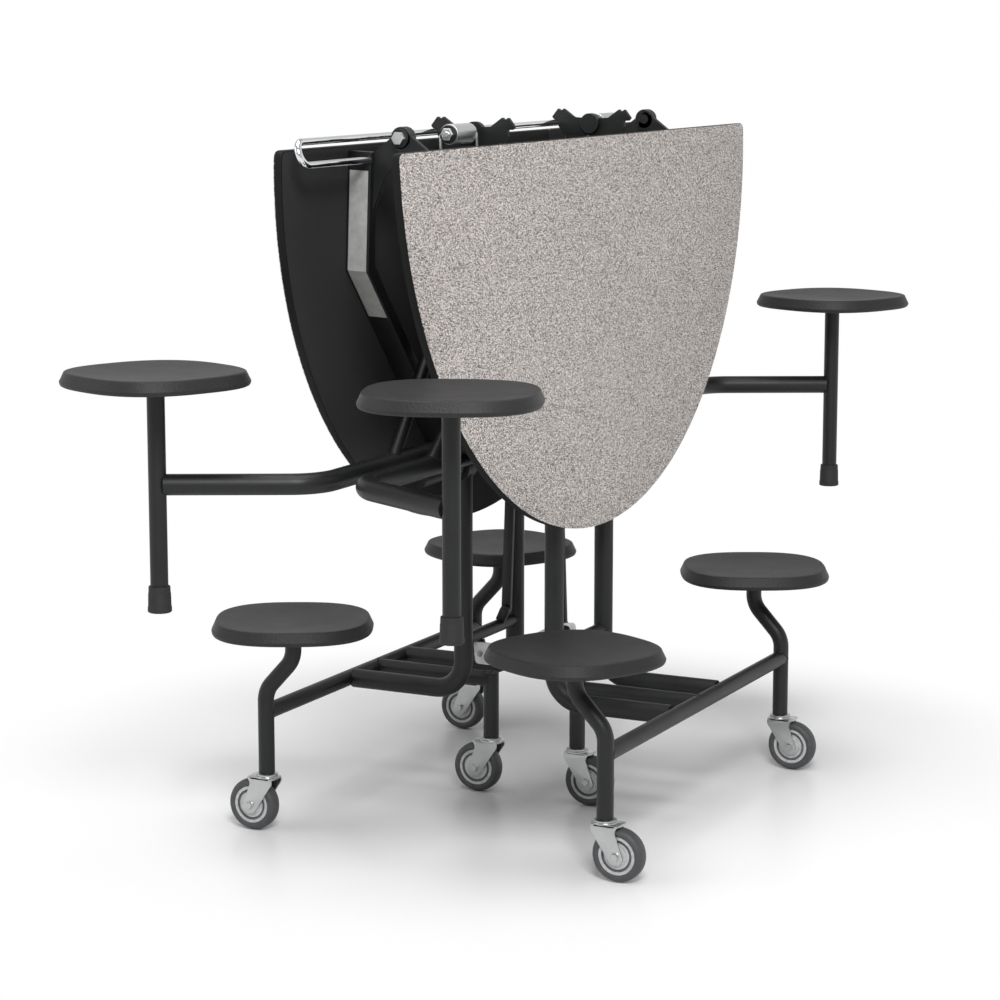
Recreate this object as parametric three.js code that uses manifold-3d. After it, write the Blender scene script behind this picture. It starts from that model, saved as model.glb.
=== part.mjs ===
// Mobile folding stool table: an elliptical top in two halves with eight stools, shown folded.
// Millimetres, +Z up. The hinge line runs along Y and the origin is on the floor under its middle.
// Half of the table is described on the +X side; the other half is the same turned about Z.
import * as THREE from 'three';
import { mergeVertices } from 'three/addons/utils/BufferGeometryUtils.js';
import Module from 'manifold-3d';

const wasm = await Module();
wasm.setup();

// Clearances and facets
const GAP = 0.3;
const TUBE_SIDES = 12;
const TUBE_BORE_SIDES = 6;
const ROUND_SIDES = 16;
const BEND_STEPS = 4;

// Table top
const OPEN_HEIGHT = 737;
const TOP_HALF_WIDTH = 787.4;
const TOP_DEPTH = 762;
const CORE_THICKNESS = 15;
const LAMINATE_THICKNESS = 1.2;
const TOP_CORNER_RADIUS = 14;
const OUTLINE_STEPS = 22;

// Fold: a half panel hangs from the hinge axis, leaning out a little at its foot
const FOLD_LEAN = THREE.MathUtils.degToRad(2);
const EDGE_SETBACK = 18.8;
const FACE_OFFSET = 124.2;
const PIVOT_OFFSET = 77;
const LEG_PIVOT_REACH = 668;
const FOOT_DROP = 530;
const FOOT_CLEARANCE = 1;

// Tubes: outer diameters and wall
const POST_OD = 31.8;
const ARM_OD = 38.1;
const CROSS_OD = 25.4;
const BRACE_OD = 25.4;
const TUBE_WALL = 2;

// Base frame
const LOWER_POST_X = 362;
const LOWER_POST_Y = 447;
const LOWER_SEAT_X = 299;
const STEM_BEND_LOW_Z = 280;
const STEM_BEND_HIGH_Z = 348;
const STEM_BEND_RADIUS = 52;
const BASE_RAIL_Z = 237;
const LEG_Y = 117;
const LEG_BEND_RADIUS = 62;
const LEG_EYE_RADIUS = 23;
const LEG_EYE_WIDTH = 36;
const INNER_POST_X = 97;
const INNER_POST_RISE = 14;
const CROSS_TUBE_Z = 340;

// Upper stool frame
const UPPER_POST_X = 291;
const UPPER_POST_Y = 919;
const ARM_RISE = 228;
const ARM_X = 39;
const ARM_CORNER_Y = 787;
const ARM_BEND_RADIUS = 85;
const HANGER_FOOT_Y = 524;
const HANGER_HEAD_Y = 75;
const HANGER_TUBE_HALF = 162;
const HANGER_TUBE_OD = 25.4;

// Stools
const SEAT_RISE = 404;
const SEAT_HALF = 156;
const SEAT_SQUARENESS = 2.6;
const SEAT_THICKNESS = 26;
const SEAT_UNDER_INSET = 7;
const SEAT_WIDE_RISE = 8;
const SEAT_TOP_INSET = 8;
const SEAT_LIP = 14;
const SEAT_DISH = 6;
const SEAT_SEGMENTS = 28;
const UPPER_SEAT_TURN = THREE.MathUtils.degToRad(68.6);
const LOWER_SEAT_TURN = THREE.MathUtils.degToRad(27);
const FOOT_HEIGHT = 47;
const FOOT_BASE_RADIUS = 21.5;
const FOOT_TOP_RADIUS = 19;
const FOOT_FLOOR = 12;

// Rails under each half top, and the hinge
const RAIL_WIDTH = 22;
const RAIL_DEPTH = 48;
const RAIL_WALL = 2.5;
const RAIL_Y = 542;
const RAIL_TOP_REACH = 28;
const RAIL_BEND_REACH = 240;
const RAIL_FOOT_Y = 150;
const HEAD_TUBE_OD = 28.6;
const HEAD_TUBE_HALF = 300;
const GUSSET_THICKNESS = 11;
const GUSSET_REACH = 140;
const BOSS_RADIUS = 20.5;
const SHAFT_RADIUS = 9.5;
const WASHER_RADIUS = 17;
const WASHER_THICKNESS = 4;
const BOLT_RADIUS = 13;
const BOLT_HEIGHT = 9;
const CROWN_Y = 266;
const CROWN_THICKNESS = 8;
const CROWN_HALF = 88;
const CROWN_EAR = 26;
const CROWN_PEAK = 29;
const CROWN_DIP = 5;
const CROWN_SHOULDER = 12;
const CROWN_SADDLE = 50;
const CROWN_DEPTH = 24;
const CROWN_BOSS = 14;
const SLEEVE_RADIUS = 19;
const SLEEVE_NEAR = 366;
const SLEEVE_FAR = 287;
const STIRRUP_DROP = 56;
const STIRRUP_PLATE = 3;
const STIRRUP_LEG = 4;
const BLOCK_THICKNESS = 8;
const BLOCK_LENGTH = 70;
const BLOCK_EYE_RADIUS = 19;
const BLOCK_HALF = 150;
const BLOCK_LUG_Y = 136;

// Lift handle on the left half
const HANDLE_OD = 12.7;
const HANDLE_X = 80;
const HANDLE_FOOT_X = 65;
const HANDLE_WELD = 0.5;
const HANDLE_SPACING = 40;
const HANDLE_BEND_RADIUS = 20.5;
const HANDLE_LOOP_Y = 788;
const HANDLE_FAR_Y = 526;

// Parallel link that keeps the upper frame upright
const LINK_FOOT_X = 84.6;
const LINK_FOOT_Z = 374;
const LINK_Y = 46;
const LINK_WIDTH = 20;
const LINK_THICKNESS = 8;
const LINK_PIN_RADIUS = 6;
const PIN_PROUD = 2;
const LUG_THICKNESS = 7;

// Latch bar between the bases, drawn lifted clear of the tube that it hooks over
const LATCH_Y = 56;
const LATCH_THICKNESS = 6;
const LATCH_PIVOT_X = 92;
const LATCH_PIVOT_Z = 302;
const LATCH_WIDTH = 50;
const LATCH_TAIL = 13;
const LATCH_HOOK = 10;
const LATCH_NOTCH_PLAY = 2;
const LATCH_LIFT = THREE.MathUtils.degToRad(7);

// Casters
const WHEEL_RADIUS = 50.8;
const WHEEL_WIDTH = 32;
const WHEEL_SIDES = 24;
const CASTER_HEIGHT = 116.5;
const CASTER_TRAIL = 29;
const AXLE_RADIUS = 5.5;
const FORK_PLATE = 3;
const FORK_SIDE_GAP = 1;
const RACE_RADIUS = 23;
const RACE_HEIGHT = 7.5;
const CROWN_PLATE = 4;
const FORK_SHOULDER = 8;
const FORK_NOSE = 16;
const FORK_BACK = 21;
const FORK_FRONT = 35;
const AXLE_PROUD = 2;

// Places worked out from the sizes above
const LEAN_SIN = Math.sin(FOLD_LEAN);
const LEAN_COS = Math.cos(FOLD_LEAN);
const LEG_PIVOT_Z = OPEN_HEIGHT - FACE_OFFSET + PIVOT_OFFSET;
const LEG_PIVOT_X = LEG_PIVOT_REACH * LEAN_SIN + PIVOT_OFFSET * LEAN_COS;
const HINGE_Z = LEG_PIVOT_Z + LEG_PIVOT_REACH * LEAN_COS - PIVOT_OFFSET * LEAN_SIN;
const LINK_LENGTH = FOOT_DROP / LEAN_COS;
const HANGER_REACH = LEG_PIVOT_REACH - LINK_LENGTH;
const HANGER_X = LEG_PIVOT_X - LINK_LENGTH * LEAN_SIN;
const HANGER_Z = LEG_PIVOT_Z + FOOT_DROP;
const FOOT_Z = FOOT_DROP + FOOT_CLEARANCE;
const ARM_Z = FOOT_Z + ARM_RISE;
const UPPER_SEAT_Z = FOOT_Z + SEAT_RISE;
const LOWER_SEAT_Z = FOOT_CLEARANCE + SEAT_RISE;
const LINK_HEAD_X = LINK_FOOT_X - LINK_LENGTH * LEAN_SIN;
const LINK_HEAD_Z = LINK_FOOT_Z + FOOT_DROP;
const CORE_BACK = FACE_OFFSET - LAMINATE_THICKNESS - GAP - CORE_THICKNESS;
const RAIL_FACE = CORE_BACK - GAP - RAIL_DEPTH;
const BOSS_FACE = RAIL_Y + GUSSET_THICKNESS + GAP;
const PIN_END = BOSS_FACE + WASHER_THICKNESS;

// Finishes
const finish = (color, roughness, metalness) => new THREE.MeshStandardMaterial({ color, roughness, metalness });
const FRAME_BLACK = finish(0x141416, 0.45, 0.1);
const SEAT_CHARCOAL = finish(0x3c3c3f, 0.6, 0);
const CORE_DARK = finish(0x1d1d1f, 0.7, 0);
const LAMINATE_GREY = finish(0xb7aea8, 0.4, 0);
const CHROME = finish(0xe6e8ea, 0.08, 1);
const SILVER = finish(0xb9bcc0, 0.35, 1);
const ZINC = finish(0xc9ccd0, 0.3, 1);
const LATCH_GREY = finish(0xd6d6d4, 0.45, 0.6);
const RUBBER = finish(0x262628, 0.8, 0);
const WHEEL_GREY = finish(0x76777b, 0.6, 0);

// Joining and cutting
function solid(geometry) {
  const bare = geometry.clone();
  bare.deleteAttribute('normal');
  bare.deleteAttribute('uv');
  const merged = mergeVertices(bare, 1e-3);
  return new wasm.Manifold(new wasm.Mesh({
    numProp: 3,
    vertProperties: new Float32Array(merged.attributes.position.array),
    triVerts: new Uint32Array(merged.index.array),
  }));
}

function geometryOf(body) {
  const mesh = body.getMesh();
  const geometry = new THREE.BufferGeometry();
  geometry.setAttribute('position', new THREE.BufferAttribute(new Float32Array(mesh.vertProperties), 3));
  geometry.setIndex(new THREE.BufferAttribute(new Uint32Array(mesh.triVerts), 1));
  return geometry;
}

function join(...pieces) {
  return geometryOf(pieces.map(solid).reduce((whole, piece) => whole.add(piece)));
}

function cut(piece, ...tools) {
  return geometryOf(tools.map(solid).reduce((rest, tool) => rest.subtract(tool), solid(piece)));
}

// A path through given points, with one ring of a tube at each point
class PointPath extends THREE.Curve {
  constructor(points) {
    super();
    this.points = points;
  }

  getPoint(t) {
    const place = t * (this.points.length - 1);
    const index = Math.min(Math.floor(place + 1e-9), this.points.length - 2);
    return this.points[index].clone().lerp(this.points[index + 1], place - index);
  }

  getPointAt(t) {
    return this.getPoint(t);
  }

  getTangentAt(t) {
    const last = this.points.length - 1;
    const index = Math.round(t * last);
    const before = this.points[Math.max(index - 1, 0)];
    const after = this.points[Math.min(index + 1, last)];
    const here = this.points[index];
    const tangent = new THREE.Vector3();
    if (index > 0) tangent.add(here.clone().sub(before).normalize());
    if (index < last) tangent.add(after.clone().sub(here).normalize());
    return tangent.normalize();
  }
}

// Straight runs between corners, with an arc of the given radius at each inner corner
function bentPath(corners, radius) {
  const points = [corners[0]];
  for (let i = 1; i < corners.length - 1; i += 1) {
    const inward = corners[i].clone().sub(corners[i - 1]).normalize();
    const outward = corners[i + 1].clone().sub(corners[i]).normalize();
    const turn = inward.angleTo(outward);
    const start = corners[i].clone().addScaledVector(inward, -radius * Math.tan(turn / 2));
    const side = outward.clone().addScaledVector(inward, -inward.dot(outward)).normalize();
    for (let step = 0; step <= BEND_STEPS; step += 1) {
      const angle = (turn * step) / BEND_STEPS;
      points.push(start.clone()
        .addScaledVector(inward, radius * Math.sin(angle))
        .addScaledVector(side, radius * (1 - Math.cos(angle))));
    }
  }
  points.push(corners[corners.length - 1]);
  return points;
}

const at = (x, y, z) => new THREE.Vector3(x, y, z);

// A bent steel tube, open at both ends
function tube(corners, diameter, bendRadius = 0, sides = TUBE_SIDES) {
  const points = bentPath(corners, bendRadius);
  const section = new THREE.Shape().absarc(0, 0, diameter / 2, 0, Math.PI * 2);
  const bore = Array.from({ length: TUBE_BORE_SIDES }, (unused, i) => new THREE.Vector2(diameter / 2 - TUBE_WALL, 0)
    .rotateAround(new THREE.Vector2(), (-2 * Math.PI * i) / TUBE_BORE_SIDES));
  section.holes.push(new THREE.Path(bore));
  return new THREE.ExtrudeGeometry(section, {
    steps: points.length - 1,
    curveSegments: sides / 2,
    extrudePath: new PointPath(points),
  });
}

// A solid bent rod
function bentRod(corners, diameter, bendRadius) {
  const points = bentPath(corners, bendRadius);
  return new THREE.ExtrudeGeometry(new THREE.Shape().absarc(0, 0, diameter / 2, 0, Math.PI * 2), {
    steps: points.length - 1,
    curveSegments: TUBE_SIDES / 2,
    extrudePath: new PointPath(points),
  });
}

// A straight round bar between two points
function bar(from, to, radius, sides = ROUND_SIDES) {
  const along = to.clone().sub(from);
  const geometry = new THREE.CylinderGeometry(radius, radius, along.length(), sides);
  const turn = new THREE.Quaternion().setFromUnitVectors(at(0, 1, 0), along.clone().normalize());
  geometry.applyQuaternion(turn);
  const middle = from.clone().add(to).multiplyScalar(0.5);
  return geometry.translate(middle.x, middle.y, middle.z);
}

// The space that a round bar needs, with its running gap, as a tool to cut with
function borer(from, to, radius) {
  return bar(from, to, (radius + GAP) / Math.cos(Math.PI / ROUND_SIDES));
}

const alongY = (x, z, from, to) => [at(x, from, z), at(x, to, z)];
const alongZ = (x, y, from, to) => [at(x, y, from), at(x, y, to)];

// A flat plate drawn in X and Z and given its thickness along Y
function plateXZ(shape, from, to) {
  const geometry = new THREE.ExtrudeGeometry(shape, { depth: to - from, bevelEnabled: false, curveSegments: 8 });
  return geometry.rotateX(Math.PI / 2).translate(0, to, 0);
}

// A flat plate drawn in Y and Z and given its thickness along X
function plateYZ(shape, from, to) {
  const geometry = new THREE.ExtrudeGeometry(shape, {
    depth: to - from,
    bevelEnabled: false,
    curveSegments: OUTLINE_STEPS,
  });
  const turn = new THREE.Matrix4().makeBasis(at(0, 1, 0), at(0, 0, 1), at(1, 0, 0));
  return geometry.applyMatrix4(turn).translate(from, 0, 0);
}

const outline = (points) => new THREE.Shape(points.map(([x, y]) => new THREE.Vector2(x, y)));

// A strip of even width along a bent line in Y and Z
function stripOutline(line, halfWidth) {
  const points = line.map(([y, z]) => new THREE.Vector2(y, z));
  const normals = points.slice(1).map((point, i) => {
    const way = point.clone().sub(points[i]).normalize();
    return new THREE.Vector2(-way.y, way.x);
  });
  const offset = (i, width) => {
    const first = normals[Math.max(i - 1, 0)];
    const second = normals[Math.min(i, normals.length - 1)];
    const mitre = first.clone().add(second).normalize();
    return points[i].clone().addScaledVector(mitre, width / mitre.dot(first));
  };
  const left = points.map((point, i) => offset(i, halfWidth));
  const right = points.map((point, i) => offset(i, -halfWidth)).reverse();
  return new THREE.Shape([...left, ...right]);
}

// Stool seat: a rounded square with a soft rim and a shallow dish
function seat(turn) {
  const rim = SEAT_HALF;
  const top = SEAT_THICKNESS;
  const lip = rim - SEAT_TOP_INSET;
  const profile = [
    [0, 0], [rim - SEAT_UNDER_INSET, 0], [rim, SEAT_WIDE_RISE], [lip, top], [lip - SEAT_LIP, top],
    [lip / 2, top - SEAT_DISH * 0.8], [0, top - SEAT_DISH],
  ].map(([r, z]) => new THREE.Vector2(r, z));
  const geometry = new THREE.LatheGeometry(profile, SEAT_SEGMENTS).rotateX(Math.PI / 2);
  const position = geometry.attributes.position;
  for (let i = 0; i < position.count; i += 1) {
    const angle = Math.atan2(position.getY(i), position.getX(i));
    const power = SEAT_SQUARENESS;
    const reach = (Math.abs(Math.cos(angle)) ** power + Math.abs(Math.sin(angle)) ** power) ** (-1 / power);
    position.setXY(i, position.getX(i) * reach, position.getY(i) * reach);
  }
  return geometryOf(solid(geometry.rotateZ(turn)));
}

// Base frame pieces
function stoolStem(y) {
  const corners = [
    at(LOWER_POST_X, y, CASTER_HEIGHT),
    at(LOWER_POST_X, y, STEM_BEND_LOW_Z),
    at(LOWER_SEAT_X, y, STEM_BEND_HIGH_Z),
    at(LOWER_SEAT_X, y, LOWER_SEAT_Z - GAP),
  ];
  return tube(corners, POST_OD, STEM_BEND_RADIUS);
}

const stemSpace = (y) => borer(...alongZ(LOWER_POST_X, y, CASTER_HEIGHT, STEM_BEND_LOW_Z), POST_OD / 2);
const baseRailSpace = () => borer(...alongY(LOWER_POST_X, BASE_RAIL_Z, -LOWER_POST_Y, LOWER_POST_Y), POST_OD / 2);
const headTubeSpace = () => borer(
  ...alongY(LEG_PIVOT_X, LEG_PIVOT_Z, -HEAD_TUBE_HALF, HEAD_TUBE_HALF), HEAD_TUBE_OD / 2);

// The base rail carries a middle rung, whose inner end stands on a caster post
function baseRail() {
  const rail = tube(alongY(LOWER_POST_X, BASE_RAIL_Z, -LOWER_POST_Y, LOWER_POST_Y), POST_OD);
  const weld = LOWER_POST_X - POST_OD / 2 + TUBE_WALL / 2;
  const rung = bar(at(INNER_POST_X, 0, BASE_RAIL_Z), at(weld, 0, BASE_RAIL_Z), POST_OD / 2, TUBE_SIDES);
  const post = bar(...alongZ(INNER_POST_X, 0, CASTER_HEIGHT, BASE_RAIL_Z + INNER_POST_RISE), POST_OD / 2, TUBE_SIDES);
  return cut(join(rail, rung, post), stemSpace(-LOWER_POST_Y), stemSpace(LOWER_POST_Y));
}

function leg(y) {
  const corners = [
    at(LEG_PIVOT_X, y, LEG_PIVOT_Z),
    at(LEG_PIVOT_X, y, BASE_RAIL_Z),
    at(LOWER_POST_X, y, BASE_RAIL_Z),
  ];
  const eyeFace = LEG_EYE_WIDTH / 2;
  const eye = bar(...alongY(LEG_PIVOT_X, LEG_PIVOT_Z, y - eyeFace, y + eyeFace), LEG_EYE_RADIUS);
  return cut(join(tube(corners, ARM_OD, LEG_BEND_RADIUS), eye), headTubeSpace(), baseRailSpace());
}

// A flat lug from a tube to a pin that sticks out sideways
function pinLug(tubeX, tubeZ, tubeRadius, pinX, pinZ, lugFrom, pinTo) {
  const away = new THREE.Vector2(pinX - tubeX, pinZ - tubeZ).normalize();
  const side = new THREE.Vector2(-away.y, away.x);
  const half = LINK_WIDTH / 2;
  const root = tubeRadius - TUBE_WALL / 2;
  const lugTo = lugFrom + LUG_THICKNESS;
  const web = outline([
    [tubeX + away.x * root + side.x * half, tubeZ + away.y * root + side.y * half],
    [pinX + side.x * half, pinZ + side.y * half],
    [pinX - side.x * half, pinZ - side.y * half],
    [tubeX + away.x * root - side.x * half, tubeZ + away.y * root - side.y * half],
  ]);
  const head = bar(...alongY(pinX, pinZ, lugFrom, lugTo), half);
  const pin = bar(...alongY(pinX, pinZ, Math.min(lugFrom + 1, pinTo), Math.max(lugTo - 1, pinTo)), LINK_PIN_RADIUS);
  return join(plateXZ(web, lugFrom, lugTo), head, pin);
}

const LINK_LUG_FROM = -LINK_Y + LINK_THICKNESS / 2 + GAP;
const LINK_PIN_END = -LINK_Y - LINK_THICKNESS / 2 - PIN_PROUD;

function crossTube(withLatchLug) {
  const reach = LEG_Y - ARM_OD / 2 + 6;
  const legSpace = (y) => borer(...alongZ(LEG_PIVOT_X, y, BASE_RAIL_Z, LEG_PIVOT_Z), ARM_OD / 2);
  const plain = tube(alongY(LEG_PIVOT_X, CROSS_TUBE_Z, -reach, reach), CROSS_OD);
  const pieces = [plain, pinLug(LEG_PIVOT_X, CROSS_TUBE_Z, CROSS_OD / 2, LINK_FOOT_X, LINK_FOOT_Z,
    LINK_LUG_FROM, LINK_PIN_END)];
  if (withLatchLug) {
    const lugFrom = LATCH_Y - LATCH_THICKNESS / 2 - GAP - LUG_THICKNESS;
    pieces.push(pinLug(LEG_PIVOT_X, CROSS_TUBE_Z, CROSS_OD / 2, LATCH_PIVOT_X, LATCH_PIVOT_Z,
      lugFrom, LATCH_Y + LATCH_THICKNESS / 2 + PIN_PROUD));
  }
  return cut(join(...pieces), legSpace(-LEG_Y), legSpace(LEG_Y));
}

// Casters, about their own swivel axis
function casterFork() {
  const inner = WHEEL_WIDTH / 2 + FORK_SIDE_GAP;
  const outer = inner + FORK_PLATE;
  const raceBottom = CASTER_HEIGHT - GAP - RACE_HEIGHT;
  const crownBottom = raceBottom - CROWN_PLATE;
  const race = bar(...alongZ(0, 0, raceBottom - CROWN_PLATE / 2, CASTER_HEIGHT - GAP), RACE_RADIUS);
  const crown = plateXZ(outline([
    [-RACE_RADIUS, crownBottom], [FORK_FRONT, crownBottom], [FORK_FRONT, raceBottom], [-RACE_RADIUS, raceBottom],
  ]), -outer, outer);
  const cheek = outline([
    [-FORK_BACK, raceBottom], [-FORK_BACK, crownBottom - FORK_SHOULDER],
    [CASTER_TRAIL - FORK_NOSE, WHEEL_RADIUS - FORK_NOSE / 3], [CASTER_TRAIL - FORK_NOSE / 2, WHEEL_RADIUS - FORK_NOSE],
    [CASTER_TRAIL + FORK_NOSE / 2, WHEEL_RADIUS - FORK_NOSE], [CASTER_TRAIL + FORK_NOSE, WHEEL_RADIUS - FORK_NOSE / 3],
    [FORK_FRONT, crownBottom - FORK_SHOULDER], [FORK_FRONT, raceBottom],
  ]);
  const axle = bar(...alongY(CASTER_TRAIL, WHEEL_RADIUS, -outer - AXLE_PROUD, outer + AXLE_PROUD), AXLE_RADIUS, TUBE_SIDES);
  return join(race, crown, plateXZ(cheek, -outer, -inner), plateXZ(cheek, inner, outer), axle);
}

function casterWheel() {
  const bore = (AXLE_RADIUS + GAP) / Math.cos(Math.PI / WHEEL_SIDES);
  const half = WHEEL_WIDTH / 2;
  const profile = [
    [bore, -half], [WHEEL_RADIUS * 0.86, -half], [WHEEL_RADIUS, -half * 0.6],
    [WHEEL_RADIUS, half * 0.6], [WHEEL_RADIUS * 0.86, half], [bore, half], [bore, -half],
  ].map(([r, y]) => new THREE.Vector2(r, y));
  const geometry = new THREE.LatheGeometry(profile, WHEEL_SIDES).translate(CASTER_TRAIL, 0, WHEEL_RADIUS);
  return geometryOf(solid(geometry));
}

// Half top pieces, drawn hanging straight down from the hinge axis: X is the panel's normal
function halfOutline(inset) {
  const width = TOP_HALF_WIDTH - inset;
  const depth = TOP_DEPTH - inset;
  const edge = -EDGE_SETBACK - inset;
  const start = Math.asin(TOP_CORNER_RADIUS / depth);
  const shape = new THREE.Shape();
  shape.moveTo(width - TOP_CORNER_RADIUS, edge);
  shape.lineTo(-width + TOP_CORNER_RADIUS, edge);
  shape.quadraticCurveTo(-width, edge, -width * Math.cos(start), edge - TOP_CORNER_RADIUS);
  for (let step = 1; step <= OUTLINE_STEPS * 2; step += 1) {
    const angle = Math.PI - start - ((Math.PI - 2 * start) * step) / (OUTLINE_STEPS * 2);
    shape.lineTo(width * Math.cos(angle), edge - depth * Math.sin(angle));
  }
  shape.quadraticCurveTo(width, edge, width - TOP_CORNER_RADIUS, edge);
  return shape;
}

const flatPlate = (shape, from, to) => {
  const geometry = new THREE.ExtrudeGeometry(shape, { depth: to - from, bevelEnabled: false, curveSegments: 4 });
  const turn = new THREE.Matrix4().makeBasis(at(0, 1, 0), at(0, 0, 1), at(1, 0, 0));
  return geometry.applyMatrix4(turn).translate(from, 0, 0);
};

const topPanel = () => flatPlate(halfOutline(0), CORE_BACK, CORE_BACK + CORE_THICKNESS);
const laminate = () => flatPlate(halfOutline(LAMINATE_THICKNESS), FACE_OFFSET - LAMINATE_THICKNESS, FACE_OFFSET);

function gussetOutline() {
  const shape = new THREE.Shape();
  shape.moveTo(0, BOSS_RADIUS * 0.98);
  shape.lineTo(RAIL_FACE * 0.62, -RAIL_TOP_REACH * 0.35);
  shape.lineTo(RAIL_FACE, -RAIL_TOP_REACH);
  shape.lineTo(RAIL_FACE + RAIL_DEPTH, -RAIL_TOP_REACH);
  shape.lineTo(RAIL_FACE + RAIL_DEPTH, -GUSSET_REACH * 0.6);
  shape.lineTo(RAIL_FACE + RAIL_WALL, -GUSSET_REACH);
  shape.quadraticCurveTo(RAIL_FACE * 0.85, -BOSS_RADIUS * 2.6, -BOSS_RADIUS * 0.7, -BOSS_RADIUS * 0.7);
  return shape;
}

function railFrame() {
  const railBack = RAIL_FACE + RAIL_DEPTH;
  const pieces = [
    tube(alongY(PIVOT_OFFSET, -LEG_PIVOT_REACH, -HEAD_TUBE_HALF, HEAD_TUBE_HALF), HEAD_TUBE_OD, 0, ROUND_SIDES),
  ];
  for (const end of [-1, 1]) {
    const line = [[end * RAIL_Y, -RAIL_TOP_REACH], [end * RAIL_Y, -RAIL_BEND_REACH], [end * RAIL_FOOT_Y, -LEG_PIVOT_REACH]];
    const outside = plateYZ(stripOutline(line, RAIL_WIDTH / 2), RAIL_FACE, railBack);
    const hollow = plateYZ(stripOutline(line, RAIL_WIDTH / 2 - RAIL_WALL), RAIL_FACE + RAIL_WALL, railBack + 1);
    // The two halves' bosses sit side by side: the outer one turns on a stub pin in the inner one
    const slot = end * RAIL_Y - GUSSET_THICKNESS / 2 - (GUSSET_THICKNESS + 2 * GAP) / 2;
    const boss = bar(...alongY(0, 0, slot, slot + GUSSET_THICKNESS), BOSS_RADIUS);
    pieces.push(cut(outside, hollow), plateXZ(gussetOutline(), slot, slot + GUSSET_THICKNESS), boss);
  }
  const headBore = bar(...alongY(PIVOT_OFFSET, -LEG_PIVOT_REACH, -HEAD_TUBE_HALF - 1, HEAD_TUBE_HALF + 1),
    HEAD_TUBE_OD / 2 - TUBE_WALL, TUBE_SIDES);
  const collar = (from, to, radius, sides) => bar(...alongY(0, 0, from, to), radius, sides);
  pieces.push(
    collar(RAIL_Y - GUSSET_THICKNESS / 2, PIN_END, SHAFT_RADIUS),
    collar(BOSS_FACE + GAP, PIN_END, WASHER_RADIUS),
    collar(PIN_END - WASHER_THICKNESS / 2, PIN_END + BOLT_HEIGHT, BOLT_RADIUS, 6),
  );
  const pinSpace = borer(...alongY(0, 0, -PIN_END, GAP - RAIL_Y), SHAFT_RADIUS);
  return cut(join(...pieces), headBore, pinSpace);
}

// Lugs that carry the hanger's tube under the panel
function pivotBlock() {
  const back = CORE_BACK - GAP;
  const plate = plateYZ(outline([
    [-BLOCK_HALF, -HANGER_REACH - BLOCK_LENGTH / 2], [BLOCK_HALF, -HANGER_REACH - BLOCK_LENGTH / 2],
    [BLOCK_HALF, -HANGER_REACH + BLOCK_LENGTH / 2], [-BLOCK_HALF, -HANGER_REACH + BLOCK_LENGTH / 2],
  ]), back - BLOCK_THICKNESS, back);
  const lugs = [-1, 1].map((end) => {
    const from = end * BLOCK_LUG_Y - BLOCK_THICKNESS / 2;
    const to = end * BLOCK_LUG_Y + BLOCK_THICKNESS / 2;
    const web = outline([
      [PIVOT_OFFSET, -HANGER_REACH - BLOCK_EYE_RADIUS], [back - 1, -HANGER_REACH - BLOCK_LENGTH / 2 + 1],
      [back - 1, -HANGER_REACH + BLOCK_LENGTH / 2 - 1], [PIVOT_OFFSET, -HANGER_REACH + BLOCK_EYE_RADIUS],
    ]);
    const eye = bar(...alongY(PIVOT_OFFSET, -HANGER_REACH, from, to), BLOCK_EYE_RADIUS);
    return join(plateXZ(web, from, to), eye);
  });
  const reach = HANGER_TUBE_HALF + 1;
  return cut(join(plate, ...lugs), borer(...alongY(PIVOT_OFFSET, -HANGER_REACH, -reach, reach), HANGER_TUBE_OD / 2));
}

// Upper stool frame pieces
const armSpace = () => borer(...alongY(ARM_X, ARM_Z, -ARM_CORNER_Y, ARM_CORNER_Y), ARM_OD / 2);
const upperPostSpace = (y) => borer(...alongZ(UPPER_POST_X, y, FOOT_Z, UPPER_SEAT_Z), POST_OD / 2);

function stoolArm() {
  const corners = [
    at(UPPER_POST_X, -UPPER_POST_Y, ARM_Z), at(ARM_X, -ARM_CORNER_Y, ARM_Z),
    at(ARM_X, ARM_CORNER_Y, ARM_Z), at(UPPER_POST_X, UPPER_POST_Y, ARM_Z),
  ];
  const lug = pinLug(ARM_X, ARM_Z, ARM_OD / 2, LINK_HEAD_X, LINK_HEAD_Z, LINK_LUG_FROM, LINK_PIN_END);
  return cut(join(tube(corners, ARM_OD, ARM_BEND_RADIUS), lug),
    upperPostSpace(-UPPER_POST_Y), upperPostSpace(UPPER_POST_Y));
}

function hanger() {
  const top = bar(...alongY(HANGER_X, HANGER_Z, -HANGER_TUBE_HALF, HANGER_TUBE_HALF), HANGER_TUBE_OD / 2, TUBE_SIDES);
  const braces = [-1, 1].map((end) => bar(
    at(ARM_X, end * HANGER_FOOT_Y, ARM_Z), at(HANGER_X, end * HANGER_HEAD_Y, HANGER_Z), BRACE_OD / 2, TUBE_SIDES));
  return cut(join(top, ...braces), armSpace());
}

const upperPost = (y) => tube(alongZ(UPPER_POST_X, y, FOOT_Z + FOOT_FLOOR + GAP, UPPER_SEAT_Z - GAP), POST_OD);

function rubberFoot() {
  const socket = (POST_OD / 2 + GAP) / Math.cos(Math.PI / ROUND_SIDES);
  const profile = [
    [0, 0], [FOOT_BASE_RADIUS, 0], [FOOT_BASE_RADIUS, FOOT_HEIGHT * 0.22], [FOOT_TOP_RADIUS, FOOT_HEIGHT],
    [socket, FOOT_HEIGHT], [socket, FOOT_FLOOR], [0, FOOT_FLOOR],
  ].map(([r, z]) => new THREE.Vector2(r, z));
  return geometryOf(solid(new THREE.LatheGeometry(profile, ROUND_SIDES).rotateX(Math.PI / 2)));
}

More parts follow.
